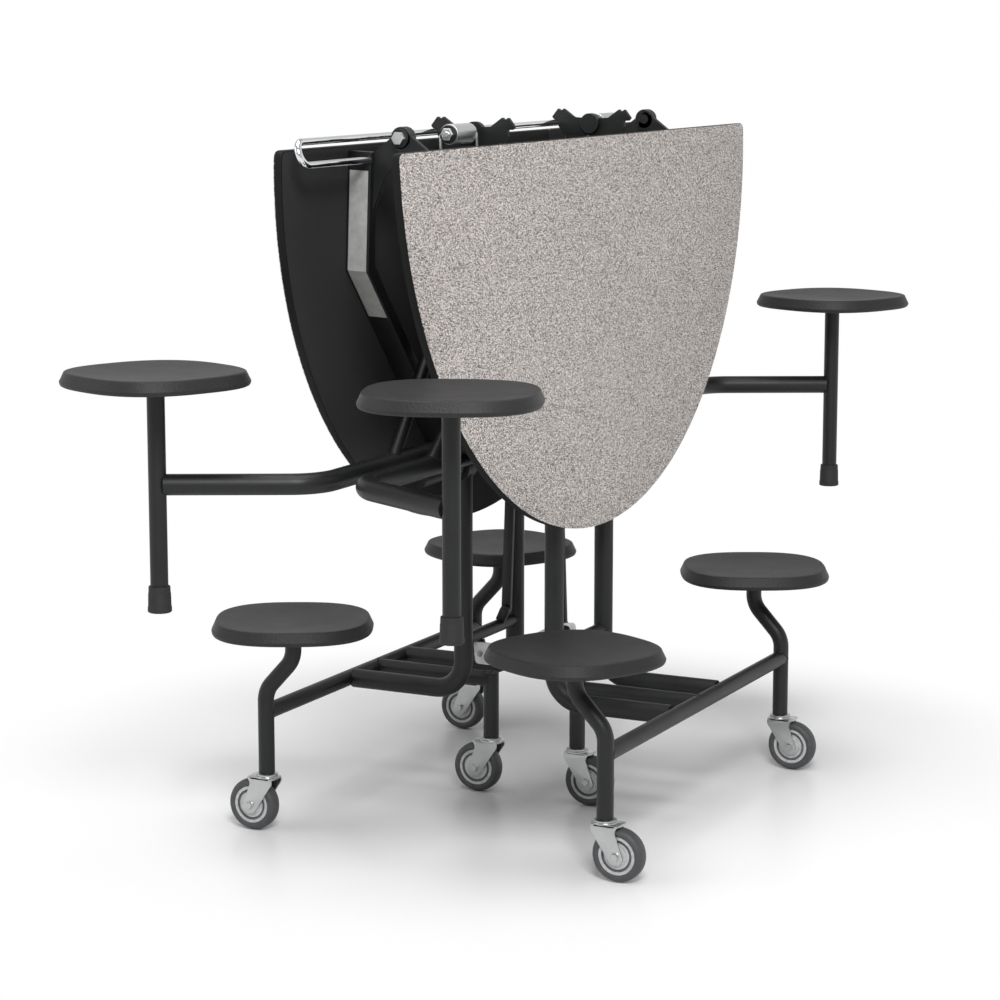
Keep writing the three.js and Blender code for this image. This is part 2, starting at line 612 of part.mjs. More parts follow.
// The link is parallel to the line between the panel's two pivots
function link() {
  const half = LINK_WIDTH / 2;
  const from = -LINK_Y - LINK_THICKNESS / 2;
  const to = -LINK_Y + LINK_THICKNESS / 2;
  const web = outline([
    [LINK_FOOT_X - half, LINK_FOOT_Z], [LINK_FOOT_X + half, LINK_FOOT_Z],
    [LINK_HEAD_X + half, LINK_HEAD_Z], [LINK_HEAD_X - half, LINK_HEAD_Z],
  ]);
  const ends = [[LINK_FOOT_X, LINK_FOOT_Z], [LINK_HEAD_X, LINK_HEAD_Z]];
  const heads = ends.map(([x, z]) => bar(...alongY(x, z, from, to), half));
  const holes = ends.map(([x, z]) => borer(...alongY(x, z, from - 1, to + 1), LINK_PIN_RADIUS));
  return cut(join(plateXZ(web, from, to), ...heads), ...holes);
}

// Hinge hardware, about the hinge axis
function crownOutline() {
  const rod = HANDLE_OD / 2 - HANDLE_WELD;
  const notch = HANDLE_X - rod;
  const ear = [
    [CROWN_HALF - CROWN_SADDLE, CROWN_SHOULDER], [CROWN_HALF - CROWN_EAR, CROWN_PEAK],
    [CROWN_HALF - CROWN_EAR * 0.78, CROWN_PEAK - CROWN_DIP], [CROWN_HALF - CROWN_EAR * 0.52, CROWN_PEAK],
    [CROWN_HALF, CROWN_SHOULDER], [CROWN_HALF - CROWN_DIP, rod], [notch, rod], [notch, -rod],
    [notch - CROWN_SHOULDER, -CROWN_DEPTH],
  ];
  const mirrored = ear.map(([x, z]) => [-x, z]).reverse();
  return outline([[0, SHAFT_RADIUS], ...ear, ...mirrored]);
}

// Two short shafts with crown plates, tied together by the long bar that runs on from the lift handle
function hingeShaft() {
  const collar = (from, to, radius, sides) => bar(...alongY(0, 0, from, to), radius, sides);
  const sleeveFace = SLEEVE_NEAR + GAP;
  const washerFace = sleeveFace + WASHER_THICKNESS;
  const bossFace = CROWN_Y - CROWN_BOSS;
  const pieces = [bar(...alongY(-HANDLE_X, 0, GAP - HANDLE_ROOT_Y, HANDLE_FAR_Y), HANDLE_OD / 2, TUBE_SIDES)];
  for (const end of [-1, 1]) {
    pieces.push(
      collar(end * bossFace, end * washerFace, SHAFT_RADIUS),
      collar(end * bossFace, end * CROWN_Y, BOSS_RADIUS),
      collar(end * washerFace, end * sleeveFace, WASHER_RADIUS),
      collar(end * (washerFace + BOLT_HEIGHT), end * (washerFace - WASHER_THICKNESS / 2), BOLT_RADIUS, 6),
      plateXZ(crownOutline(), end * CROWN_Y - CROWN_THICKNESS / 2, end * CROWN_Y + CROWN_THICKNESS / 2),
    );
  }
  return join(...pieces);
}

// The sleeve is a tube on two thin legs, which stand on a bent sheet that is screwed to the panel's back
function hingeSleeve() {
  const back = CORE_BACK - GAP;
  const bottom = -STIRRUP_DROP;
  const rim = SLEEVE_RADIUS + STIRRUP_PLATE / 2;
  const box = (fromX, toX, fromY, toY, fromZ, toZ) => plateXZ(
    outline([[fromX, fromZ], [toX, fromZ], [toX, toZ], [fromX, toZ]]), fromY, toY);
  const pieces = [
    bar(...alongY(0, 0, -SLEEVE_NEAR, -SLEEVE_FAR), SLEEVE_RADIUS),
    box(-rim, STIRRUP_LEG - rim, -SLEEVE_NEAR, STIRRUP_LEG - SLEEVE_NEAR, bottom, 0),
    box(rim - STIRRUP_LEG, rim, -SLEEVE_FAR - STIRRUP_LEG, -SLEEVE_FAR, bottom, 0),
    box(-rim, back, -SLEEVE_NEAR, -SLEEVE_FAR, bottom, bottom + STIRRUP_PLATE),
    box(back - STIRRUP_PLATE, back, -SLEEVE_NEAR, -SLEEVE_FAR, bottom, -EDGE_SETBACK),
  ];
  return cut(join(...pieces), borer(...alongY(0, 0, -SLEEVE_NEAR - 1, -SLEEVE_FAR + 1), SHAFT_RADIUS));
}

// The lift handle is a leaning loop, whose upper leg meets the long bar of the hinge
const HANDLE_ROOT_Y = RAIL_Y + RAIL_WIDTH / 2 + GAP;

function liftHandle() {
  const drop = -HANDLE_SPACING;
  const corners = [
    at(-HANDLE_X, -HANDLE_ROOT_Y, 0), at(-HANDLE_X, -HANDLE_LOOP_Y, 0),
    at(-HANDLE_FOOT_X, -HANDLE_LOOP_Y, drop), at(-HANDLE_FOOT_X, -HANDLE_ROOT_Y, drop),
  ];
  return bentRod(corners, HANDLE_OD, HANDLE_BEND_RADIUS);
}

// Latch: a flat bar pinned to the left base, whose hook can drop over the right base's cross tube
function latch() {
  const reach = LEG_PIVOT_X + LATCH_PIVOT_X;
  const rise = CROSS_TUBE_Z - LATCH_PIVOT_Z;
  const notch = CROSS_OD / 2 + LATCH_NOTCH_PLAY;
  const half = LATCH_WIDTH / 2;
  const body = outline([
    [-LATCH_TAIL, -half * 0.8], [half, -half], [reach - notch - half, rise - half * 0.4],
    [reach - notch, rise - half * 0.4], [reach - notch, rise + notch], [reach + notch, rise + notch],
    [reach + notch, rise - half * 0.2], [reach + notch + LATCH_HOOK, rise - half * 0.2],
    [reach + notch + LATCH_HOOK, rise + notch + LATCH_HOOK], [reach - notch, rise + notch + LATCH_TAIL],
    [half, half], [-LATCH_TAIL, half],
  ]);
  const from = -LATCH_Y - LATCH_THICKNESS / 2;
  const to = -LATCH_Y + LATCH_THICKNESS / 2;
  const pin = borer(...alongY(0, 0, from - 1, to + 1), LINK_PIN_RADIUS);
  return cut(plateXZ(body, from, to), pin).rotateY(-LATCH_LIFT);
}

// Assembly
const table = new THREE.Group();

function add(group, name, geometry, material, place = at(0, 0, 0)) {
  const mesh = new THREE.Mesh(geometry, material);
  mesh.name = name;
  mesh.position.copy(place);
  group.add(mesh);
}

for (const side of ['right', 'left']) {
  const half = new THREE.Group();
  half.rotation.z = side === 'right' ? 0 : Math.PI;
  table.add(half);
  const endName = (y) => ((y < 0) === (side === 'right') ? 'near' : 'far');

  add(half, `base_rail_${side}`, baseRail(), FRAME_BLACK);
  add(half, `cross_tube_${side}`, crossTube(side === 'left'), FRAME_BLACK);
  add(half, `stool_arm_${side}`, stoolArm(), FRAME_BLACK);
  add(half, `hanger_${side}`, hanger(), FRAME_BLACK);
  add(half, `link_${side}`, link(), FRAME_BLACK);

  for (const end of [-1, 1]) {
    const name = `${side}_${endName(end)}`;
    add(half, `stool_stem_${name}`, stoolStem(end * LOWER_POST_Y), FRAME_BLACK);
    add(half, `leg_${name}`, leg(end * LEG_Y), FRAME_BLACK);
    add(half, `lower_seat_${name}`, seat(end * LOWER_SEAT_TURN), SEAT_CHARCOAL,
      at(LOWER_SEAT_X, end * LOWER_POST_Y, LOWER_SEAT_Z));
    add(half, `upper_post_${name}`, upperPost(end * UPPER_POST_Y), FRAME_BLACK);
    add(half, `foot_${name}`, rubberFoot(), RUBBER, at(UPPER_POST_X, end * UPPER_POST_Y, FOOT_Z));
    add(half, `upper_seat_${name}`, seat(end * UPPER_SEAT_TURN), SEAT_CHARCOAL,
      at(UPPER_POST_X, end * UPPER_POST_Y, UPPER_SEAT_Z));
  }

  const casters = [[LOWER_POST_X, -LOWER_POST_Y], [LOWER_POST_X, LOWER_POST_Y], [INNER_POST_X, 0]];
  for (const [x, y] of casters) {
    const name = `${side}_${y === 0 ? 'middle' : endName(y)}`;
    add(half, `caster_fork_${name}`, casterFork(), ZINC, at(x, y, 0));
    add(half, `caster_wheel_${name}`, casterWheel(), WHEEL_GREY, at(x, y, 0));
  }

  const top = new THREE.Group();
  top.position.z = HINGE_Z;
  top.rotation.y = -FOLD_LEAN;
  half.add(top);
  add(top, `top_panel_${side}`, topPanel(), CORE_DARK);
  add(top, `laminate_${side}`, laminate(), LAMINATE_GREY);
  add(top, `rail_frame_${side}`, railFrame(), FRAME_BLACK);
  add(top, `pivot_block_${side}`, pivotBlock(), FRAME_BLACK);
  add(top, `hinge_sleeve_${side}`, hingeSleeve(), SILVER);
}

const hinge = new THREE.Group();
hinge.position.z = HINGE_Z;
table.add(hinge);
add(hinge, 'hinge_shaft', hingeShaft(), FRAME_BLACK);
add(hinge, 'lift_handle', liftHandle(), CHROME);
add(table, 'latch', latch(), LATCH_GREY, at(-LATCH_PIVOT_X, 0, LATCH_PIVOT_Z));

export default table;
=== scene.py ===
"""A mobile folding table with eight stools, drawn folded and standing on its casters.

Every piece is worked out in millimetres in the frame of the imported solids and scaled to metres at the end.
One half of the table is drawn in its own frame, where +X points out of the folded pair. The other half is
the same half turned by 180 degrees about Z.
"""

from math import asin, atan2, cos, pi, radians, sin, sqrt, tan
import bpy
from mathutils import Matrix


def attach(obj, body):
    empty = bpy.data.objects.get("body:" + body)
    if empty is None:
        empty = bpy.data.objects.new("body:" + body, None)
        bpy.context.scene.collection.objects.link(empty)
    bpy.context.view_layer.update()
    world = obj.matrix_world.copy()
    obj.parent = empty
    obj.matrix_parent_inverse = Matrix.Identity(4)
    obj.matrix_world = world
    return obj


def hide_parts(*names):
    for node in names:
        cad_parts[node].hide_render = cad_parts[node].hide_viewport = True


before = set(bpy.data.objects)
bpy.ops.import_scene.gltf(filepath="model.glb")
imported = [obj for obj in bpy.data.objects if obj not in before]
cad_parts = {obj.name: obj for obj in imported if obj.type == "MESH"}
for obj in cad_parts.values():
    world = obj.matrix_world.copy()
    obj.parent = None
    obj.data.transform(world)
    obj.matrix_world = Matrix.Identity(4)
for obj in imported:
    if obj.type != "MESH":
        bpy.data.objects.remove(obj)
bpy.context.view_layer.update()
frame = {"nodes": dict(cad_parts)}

from types import SimpleNamespace

import bmesh
import bpy
from bpy.props import FloatProperty, FloatVectorProperty, IntProperty, PointerProperty
from mathutils import Matrix, Vector

bl_info = {
    "name": "Folding Stool Table",
    "version": (1, 0, 0),
    "blender": (4, 5, 0),
    "location": "View3D > Sidebar > Stool Table",
    "description": "Builds a mobile folding table with eight stools around its packed frame",
    "category": "Add Mesh",
}

MM = 0.001
SIDES = ("right", "left")
ENDS = (-1, 1)
GAP = 0.3

# Places of the base frame
LOWER_POST_X = 362
LOWER_POST_Y = 447
LOWER_SEAT_X = 299
STEM_BEND_LOW_Z = 280
STEM_BEND_HIGH_Z = 348
STEM_BEND_RADIUS = 52
BASE_RAIL_Z = 237
LEG_Y = 117
LEG_BEND_RADIUS = 62
LEG_EYE_RADIUS = 23
LEG_EYE_WIDTH = 36
INNER_POST_X = 97
INNER_POST_RISE = 14
CROSS_TUBE_Z = 340

# Places of the stool frame that hangs above the base
UPPER_POST_X = 291
UPPER_POST_Y = 919
ARM_X = 39
ARM_CORNER_Y = 787
ARM_BEND_RADIUS = 85
HANGER_FOOT_Y = 524
HANGER_HEAD_Y = 75
HANGER_TUBE_HALF = 162
HANGER_TUBE_OD = 25.4
FOOT_DROP = 530
FOOT_CLEARANCE = 1
ARM_RISE = 228
SEAT_RISE = 404
POST_START = 14
FOOT_FLOOR = 12
UPPER_SEAT_TURN = radians(68.6)
LOWER_SEAT_TURN = radians(27)

# Places of the half tops, measured out from the hinge axis
LEAN = radians(2)
OPEN_HEIGHT = 737
EDGE_SETBACK = 18.8
FACE_OFFSET = 124.2
PIVOT_OFFSET = 77
LEG_PIVOT_REACH = 668
LAMINATE_THICKNESS = 1.2
LAMINATE_BEVEL = 0.4
TOP_CORNER_RADIUS = 14
OUTLINE_STEPS = 60
RAIL_Y = 542
RAIL_TOP_REACH = 28
RAIL_BEND_REACH = 240
RAIL_FOOT_Y = 150
HEAD_TUBE_HALF = 300
GUSSET_THICKNESS = 11
GUSSET_REACH = 140
BOSS_RADIUS = 20.5
BLOCK_THICKNESS = 8
BLOCK_LENGTH = 70
BLOCK_EYE_RADIUS = 19
BLOCK_HALF = 150
BLOCK_LUG_Y = 136
BLOCK_SCREWS_Y = (-70, 0, 70)
BLOCK_SCREWS_Z = (-22, 22)
BLOCK_SCREW_RADIUS = 5
STRIP_TOP_REACH = 62
STRIP_TAIL = 120
STRIP_MARGIN = 5
STRIP_FILM = 0.4

# Places along the hinge axis
SHAFT_RADIUS = 9.5
WASHER_RADIUS = 17
WASHER_THICKNESS = 4
WASHER_CHAMFER = 0.6
THREAD_RADIUS = 6
BOLT_RADIUS = 13
BOLT_HEIGHT = 9
CROWN_Y = 266
CROWN_THICKNESS = 8
CROWN_HALF = 88
CROWN_EAR = 26
CROWN_PEAK = 29
CROWN_DIP = 5
CROWN_SHOULDER = 12
CROWN_SADDLE = 50
CROWN_DEPTH = 24
CROWN_BOSS = 14
SLEEVE_RADIUS = 19
SLEEVE_NEAR = 366
SLEEVE_FAR = 287
STIRRUP_DROP = 56
STIRRUP_PLATE = 3
STIRRUP_LEG = 4
HANDLE_X = 80
HANDLE_FOOT_X = 65
HANDLE_SPACING = 40
HANDLE_BEND_RADIUS = 20.5
HANDLE_LOOP_Y = 788
HANDLE_FAR_Y = 526
HANDLE_END_Y = 553.3

# Places of the links and the latch
LINK_FOOT_X = 84.6
LINK_FOOT_Z = 374
LINK_Y = 46
LINK_WIDTH = 20
LINK_THICKNESS = 8
LINK_PIN_RADIUS = 6
PIN_PROUD = 2
LUG_THICKNESS = 7
LATCH_Y = 56
LATCH_THICKNESS = 6
LATCH_PIVOT_X = 92
LATCH_PIVOT_Z = 302
LATCH_WIDTH = 50
LATCH_TAIL = 13
LATCH_HOOK = 10
LATCH_BRIDGE = 4
LATCH_NECK = 0.6
LATCH_NECK_DROP = 19
LATCH_NOTCH_PLAY = 2
LATCH_LIFT = radians(7)

# The seats: the plate on the post, its screws, and the hub, rim and ribs of the moulding
SEAT_PLATE_RADIUS = 48
SEAT_PLATE_THICKNESS = 3
SEAT_PLATE_SIDES = 40
SEAT_SCREWS = 4
SEAT_SCREW_CIRCLE = 34
SEAT_SCREW_RADIUS = 4.5
SEAT_HUB = 52
SEAT_DRAFT = 8
SQUARED_RIM = 12
RIB_INNER = SEAT_HUB + 1
RIB_MARGIN = 8
RIB_RISE = 2
RIB_THICKNESS = 2.6

# Places of the casters, about the swivel axis
CASTER_HEIGHT = 116.5
CASTER_TRAIL = 29
AXLE_RADIUS = 5.5
AXLE_WASHER = 1.2
AXLE_WASHER_RADIUS = 9
AXLE_NUT_RADIUS = 7.4
AXLE_NUT_HEIGHT = 4.4
FORK_PLATE = 3
FORK_SIDE_GAP = 1
RACE_RADIUS = 23
RACE_HEIGHT = 7.5
CROWN_PLATE = 4
FORK_SHOULDER = 8
FORK_NOSE = 16
FORK_BACK = 21
FORK_FRONT = 35
FORK_WAIST = 8

# Places worked out from the sizes above
LEG_PIVOT_Z = OPEN_HEIGHT - FACE_OFFSET + PIVOT_OFFSET
LEG_PIVOT_X = LEG_PIVOT_REACH * sin(LEAN) + PIVOT_OFFSET * cos(LEAN)
HINGE_Z = LEG_PIVOT_Z + LEG_PIVOT_REACH * cos(LEAN) - PIVOT_OFFSET * sin(LEAN)
LINK_LENGTH = FOOT_DROP / cos(LEAN)
HANGER_REACH = LEG_PIVOT_REACH - LINK_LENGTH
HANGER_X = LEG_PIVOT_X - LINK_LENGTH * sin(LEAN)
HANGER_Z = LEG_PIVOT_Z + FOOT_DROP
FOOT_Z = FOOT_DROP + FOOT_CLEARANCE
ARM_Z = FOOT_Z + ARM_RISE
UPPER_SEAT_Z = FOOT_Z + SEAT_RISE
LOWER_SEAT_Z = FOOT_CLEARANCE + SEAT_RISE
LINK_HEAD_X = LINK_FOOT_X - LINK_LENGTH * sin(LEAN)
LINK_HEAD_Z = LINK_FOOT_Z + FOOT_DROP
LINK_LUG_FROM = -LINK_Y + LINK_THICKNESS / 2 + GAP
LINK_PIN_END = -LINK_Y - LINK_THICKNESS / 2 - PIN_PROUD
BOSS_FACE = RAIL_Y + GUSSET_THICKNESS + GAP
PIN_END = BOSS_FACE + WASHER_THICKNESS
CASTER_SPOTS = ((LOWER_POST_X, -LOWER_POST_Y), (LOWER_POST_X, LOWER_POST_Y), (INNER_POST_X, 0))

# How far a thick tube that butts on a thinner one stops from its axis, as a share of the thinner one
BUTT = 0.35
# Where a gusset is narrowest, as a share of the way from the hinge axis to the rail
GUSSET_WAIST = 0.62
# A weld's ripple, and a screw head's height and crown, as shares of their radius
WELD_RIPPLE = 0.14
SCREW_RISE = 0.55
SCREW_CROWN = 0.62
# The most of a side that a rounded corner takes, and half of an angle that needs no rounding
ROUND_SHARE = 0.45
NEARLY_STRAIGHT = radians(87)
# Less than this is no radius
TINY = 1e-6

# How finely the shapes are drawn
TUBE_SIDES = 32
WELD_SIDES = 8
SCREW_SIDES = 18
SMALL_SIDES = 24
WASHER_SIDES = 32
WHEEL_SIDES = 64
CORNER_STEPS = 6
LUG_STEPS = 12
LINK_END_STEPS = 14
BEND_STEPS = 14
ROUND_SIDES = 48
SEAT_SEGMENTS = 112
SHARP_ANGLE = radians(34)

X_AXIS = Vector((1, 0, 0))
Y_AXIS = Vector((0, 1, 0))
Z_AXIS = Vector((0, 0, 1))


# Sizes and colours that a user would change

def linear(code):
    """An sRGB hex colour such as #b5aea9 as linear red, green and blue."""
    channels = [int(code[i:i + 2], 16) / 255 for i in (1, 3, 5)]
    return tuple(c / 12.92 if c <= 0.04045 else ((c + 0.055) / 1.055) ** 2.4 for c in channels)


class FrameSizes(bpy.types.PropertyGroup):
    """Tubes, rails and welds of the steel frame."""
    post: FloatProperty(name="Post diameter", description="Outside of the stool posts and base rails",
                        default=0.0318, unit="LENGTH")
    arm: FloatProperty(name="Arm diameter", description="Outside of the stool arms and legs",
                       default=0.0381, unit="LENGTH")
    cross: FloatProperty(name="Cross tube diameter", description="Outside of the tubes between the legs",
                         default=0.0254, unit="LENGTH")
    brace: FloatProperty(name="Brace diameter", description="Outside of the hanger braces",
                         default=0.0254, unit="LENGTH")
    head_tube: FloatProperty(name="Head tube diameter",
                             description="Outside of the tube that the legs turn on",
                             default=0.0286, unit="LENGTH")
    rail_width: FloatProperty(name="Rail width", description="Width of the channel under the half tops",
                              default=0.022, unit="LENGTH")
    rail_depth: FloatProperty(name="Rail depth", description="Depth of the channel under the half tops",
                              default=0.048, unit="LENGTH")
    weld: FloatProperty(name="Weld bead", description="Radius of the weld beads",
                        default=0.0014, unit="LENGTH")
    weld_pitch: FloatProperty(name="Weld ripple", description="Distance between the ripples of a weld bead",
                              default=0.0042, unit="LENGTH")


class TopSizes(bpy.types.PropertyGroup):
    """The two half tops."""
    half_width: FloatProperty(name="Half width", description="Half of the straight edge at the hinge",
                              default=0.7874, unit="LENGTH")
    depth: FloatProperty(name="Depth", description="Reach of a half top from the hinge edge",
                         default=0.762, unit="LENGTH")
    core: FloatProperty(name="Core thickness", description="Thickness of the board behind the laminate",
                        default=0.015, unit="LENGTH")
    edge_round: FloatProperty(name="Edge rounding", description="Rounding of the sprayed edge",
                              default=0.003, unit="LENGTH")


class SeatSizes(bpy.types.PropertyGroup):
    """The moulded stool seats."""
    half: FloatProperty(name="Half width", description="Half of the seat's width across its flats",
                        default=0.155, unit="LENGTH")
    thickness: FloatProperty(name="Thickness", description="Height of the rim", default=0.026, unit="LENGTH")
    dish: FloatProperty(name="Dish", description="Depth of the hollow in the top",
                        default=0.006, unit="LENGTH")
    wall: FloatProperty(name="Wall", description="Thickness of the moulding", default=0.005, unit="LENGTH")
    squareness: FloatProperty(name="Squareness", description="2 is round, and more is squarer",
                              default=2.6, min=2, max=6)
    ribs: IntProperty(name="Ribs", description="Stiffening ribs under the seat", default=16, min=4, max=40)


class CasterSizes(bpy.types.PropertyGroup):
    """Swivel casters and the rubber feet of the upper stools."""
    wheel_radius: FloatProperty(name="Wheel radius", description="Radius over the tread",
                                default=0.0508, unit="LENGTH")
    wheel_width: FloatProperty(name="Wheel width", description="Width over the hub",
                               default=0.032, unit="LENGTH")
    foot_height: FloatProperty(name="Foot height", description="Height of a rubber foot",
                               default=0.047, unit="LENGTH")
    foot_base: FloatProperty(name="Foot base radius", description="Radius of a foot on the floor",
                             default=0.0215, unit="LENGTH")
    foot_top: FloatProperty(name="Foot top radius", description="Radius of a foot at its mouth",
                            default=0.019, unit="LENGTH")


class HandleSizes(bpy.types.PropertyGroup):
    """The chromed lift handle."""
    rod: FloatProperty(name="Rod diameter", description="Outside of the handle's rod",
                       default=0.0127, unit="LENGTH")


class Colours(bpy.types.PropertyGroup):
    """Colours of the finishes."""
    frame: FloatVectorProperty(name="Frame", description="Powder coat", subtype="COLOR",
                               default=linear("#161718"))
    seat: FloatVectorProperty(name="Seat", description="Moulded seats", subtype="COLOR",
                              default=linear("#2a2a2b"))
    laminate: FloatVectorProperty(name="Laminate", description="Ground colour of the laminate",
                                  subtype="COLOR", default=linear("#aea8a4"))
    edge: FloatVectorProperty(name="Edge", description="Sprayed edge of the tops", subtype="COLOR",
                              default=linear("#0e0f10"))
    tread: FloatVectorProperty(name="Tread", description="Tyre of the casters", subtype="COLOR",
                               default=linear("#454648"))


class TableSettings(bpy.types.PropertyGroup):
    """All sizes and colours of the table."""
    frame: PointerProperty(type=FrameSizes)
    top: PointerProperty(type=TopSizes)
    seat: PointerProperty(type=SeatSizes)
    caster: PointerProperty(type=CasterSizes)
    handle: PointerProperty(type=HandleSizes)
    colours: PointerProperty(type=Colours)


def in_mm(group):
    """The lengths of a group of sizes in millimetres, under their own names."""
    lengths = [name for name, prop in group.bl_rna.properties.items()
               if getattr(prop, "unit", "") == "LENGTH"]
    return SimpleNamespace(**{name: getattr(group, name) / MM for name in lengths})


# Nodes and finishes

def add_node(tree, kind, settings=None, inputs=None):
    """Adds a node, sets its properties and ramp, and sets or links its inputs."""
    node = tree.nodes.new(kind)
    for name, value in (settings or {}).items():
        if name == "ramp":
            elements = node.color_ramp.elements
            while len(elements) < len(value):
                elements.new(1)
            for element, (position, colour) in zip(elements, value):
                element.position = position
                element.color = (*colour, 1)
        else:
            setattr(node, name, value)
    for name, value in (inputs or {}).items():
        if isinstance(value, bpy.types.NodeSocket):
            tree.links.new(value, node.inputs[name])
        else:
            node.inputs[name].default_value = value
    return node


def shaded(colour, factor):
    """A colour made darker or lighter by a factor."""
    return tuple(min(c * factor, 1) for c in colour)


def surface(name, **sockets):
    """A new finish: its tree, its Object coordinates and its shader with these sockets set."""
    material = bpy.data.materials.new(name)
    material.use_nodes = True
    tree = material.node_tree
    tree.nodes.clear()
    place = add_node(tree, "ShaderNodeTexCoord").outputs["Object"]
    words = {key.replace("_", " "): value for key, value in sockets.items()}
    shader = add_node(tree, "ShaderNodeBsdfPrincipled", inputs=words)
    add_node(tree, "ShaderNodeOutputMaterial", inputs={"Surface": shader.outputs["BSDF"]})
    return material, tree, place, shader


def wired(material, shader, **outputs):
    """Links outputs to the shader's sockets of these names, and returns the finish."""
    for name, output in outputs.items():
        material.node_tree.links.new(output, shader.inputs[name.replace("_", " ")])
    return material


def powder_coated_steel(colour):
    """Satin black powder coat: baked on, so it has a faint orange peel and a soft, even sheen."""
    material, tree, place, shader = surface("powder_coated_steel", IOR=1.5, Specular_IOR_Level=0.38)
    mottle = add_node(tree, "ShaderNodeTexNoise", inputs={
        "Vector": place, "Scale": 1 / (60 * MM), "Detail": 4.0})
    tone = add_node(tree, "ShaderNodeValToRGB",
                    {"ramp": [(0.3, shaded(colour, 0.85)), (0.7, shaded(colour, 1.2))]},
                    {"Fac": mottle.outputs["Fac"]})
    gloss = add_node(tree, "ShaderNodeMapRange", inputs={
        "Value": mottle.outputs["Fac"], "From Min": 0.3, "From Max": 0.7, "To Min": 0.42, "To Max": 0.5})
    # The peel is about 1.5 mm across
    peel = add_node(tree, "ShaderNodeTexNoise", inputs={
        "Vector": place, "Scale": 1 / (1.5 * MM), "Detail": 2.0})
    bump = add_node(tree, "ShaderNodeBump", inputs={
        "Height": peel.outputs["Fac"], "Strength": 0.12, "Distance": 0.2 * MM})
    return wired(material, shader, Base_Color=tone.outputs["Color"], Roughness=gloss.outputs["Result"],
                 Normal=bump.outputs["Normal"])


def moulded_seat_plastic(colour):
    """Charcoal ABS from a pebbled mould: a fine leathery grain that breaks the light into a dull sheen."""
    material, tree, place, shader = surface("moulded_seat_plastic", IOR=1.52, Specular_IOR_Level=0.22)
    cloud = add_node(tree, "ShaderNodeTexNoise", inputs={
        "Vector": place, "Scale": 1 / (80 * MM), "Detail": 3.0})
    tone = add_node(tree, "ShaderNodeValToRGB",
                    {"ramp": [(0.3, shaded(colour, 0.92)), (0.7, shaded(colour, 1.08))]},
                    {"Fac": cloud.outputs["Fac"]})
    # Pebbles are 4.5 mm across, drawn coarser than life so that they show
    pebble = add_node(tree, "ShaderNodeTexVoronoi", {"feature": "SMOOTH_F1"},
                      {"Vector": place, "Scale": 1 / (4.5 * MM), "Smoothness": 0.4})
    bump = add_node(tree, "ShaderNodeBump", inputs={
        "Height": pebble.outputs["Distance"], "Strength": 0.8, "Distance": 0.6 * MM})
    gloss = add_node(tree, "ShaderNodeMapRange", inputs={
        "Value": cloud.outputs["Fac"], "From Min": 0.3, "From Max": 0.7, "To Min": 0.5, "To Max": 0.56})
    return wired(material, shader, Base_Color=tone.outputs["Color"], Roughness=gloss.outputs["Result"],
                 Normal=bump.outputs["Normal"])


def speckled_laminate(colour):
    """High-pressure laminate with a printed granite speckle under a clear matt face."""
    material, tree, place, shader = surface(
        "speckled_laminate", IOR=1.5, Roughness=0.5, Specular_IOR_Level=0.3)
    # Specks are 1.2 mm across with 2.6 mm grit between them, drawn coarser than life so that they show
    # and longer along the panel. They don't change through the sheet, so its lean gives no bands.
    speck_size = (0, 1 / (2.2 * MM), 1 / (1.2 * MM))
    stretched = add_node(tree, "ShaderNodeMapping", inputs={"Vector": place, "Scale": speck_size})
    speck = add_node(tree, "ShaderNodeTexVoronoi", inputs={
        "Vector": stretched.outputs["Vector"], "Scale": 1.0})
    grit = add_node(tree, "ShaderNodeTexNoise", inputs={
        "Vector": place, "Scale": 1 / (2.6 * MM), "Detail": 2.0})
    chance = add_node(tree, "ShaderNodeSeparateColor", inputs={"Color": speck.outputs["Color"]})
    tones = [(0.0, shaded(colour, 0.02)), (0.32, shaded(colour, 0.04)), (0.4, shaded(colour, 0.9)),
             (0.54, shaded(colour, 1.05)), (0.62, shaded(colour, 2.0)), (1.0, shaded(colour, 2.1))]
    specks = add_node(tree, "ShaderNodeValToRGB", {"ramp": tones}, {"Fac": chance.outputs["Red"]})
    dust = add_node(tree, "ShaderNodeValToRGB",
                    {"ramp": [(0.35, shaded(colour, 0.55)), (0.65, shaded(colour, 1.45))]},
                    {"Fac": grit.outputs["Fac"]})
    mixed = add_node(tree, "ShaderNodeMix", {"data_type": "RGBA"},
                     {0: 0.1, 6: specks.outputs["Color"], 7: dust.outputs["Color"]})
    bump = add_node(tree, "ShaderNodeBump", inputs={
        "Height": grit.outputs["Fac"], "Strength": 0.08, "Distance": 0.1 * MM})
    return wired(material, shader, Base_Color=mixed.outputs[2], Normal=bump.outputs["Normal"])


def sprayed_edge(colour):
    """Black urethane sprayed on the bare edge of the board: slightly lumpy, with a dull sheen."""
    material, tree, place, shader = surface(
        "sprayed_urethane_edge", IOR=1.5, Roughness=0.6, Specular_IOR_Level=0.2)
    lumps = add_node(tree, "ShaderNodeTexNoise", inputs={
        "Vector": place, "Scale": 1 / (3 * MM), "Detail": 3.0})
    tone = add_node(tree, "ShaderNodeValToRGB",
                    {"ramp": [(0.3, shaded(colour, 0.8)), (0.7, shaded(colour, 1.3))]},
                    {"Fac": lumps.outputs["Fac"]})
    bump = add_node(tree, "ShaderNodeBump", inputs={
        "Height": lumps.outputs["Fac"], "Strength": 0.35, "Distance": 0.4 * MM})
    return wired(material, shader, Base_Color=tone.outputs["Color"], Normal=bump.outputs["Normal"])


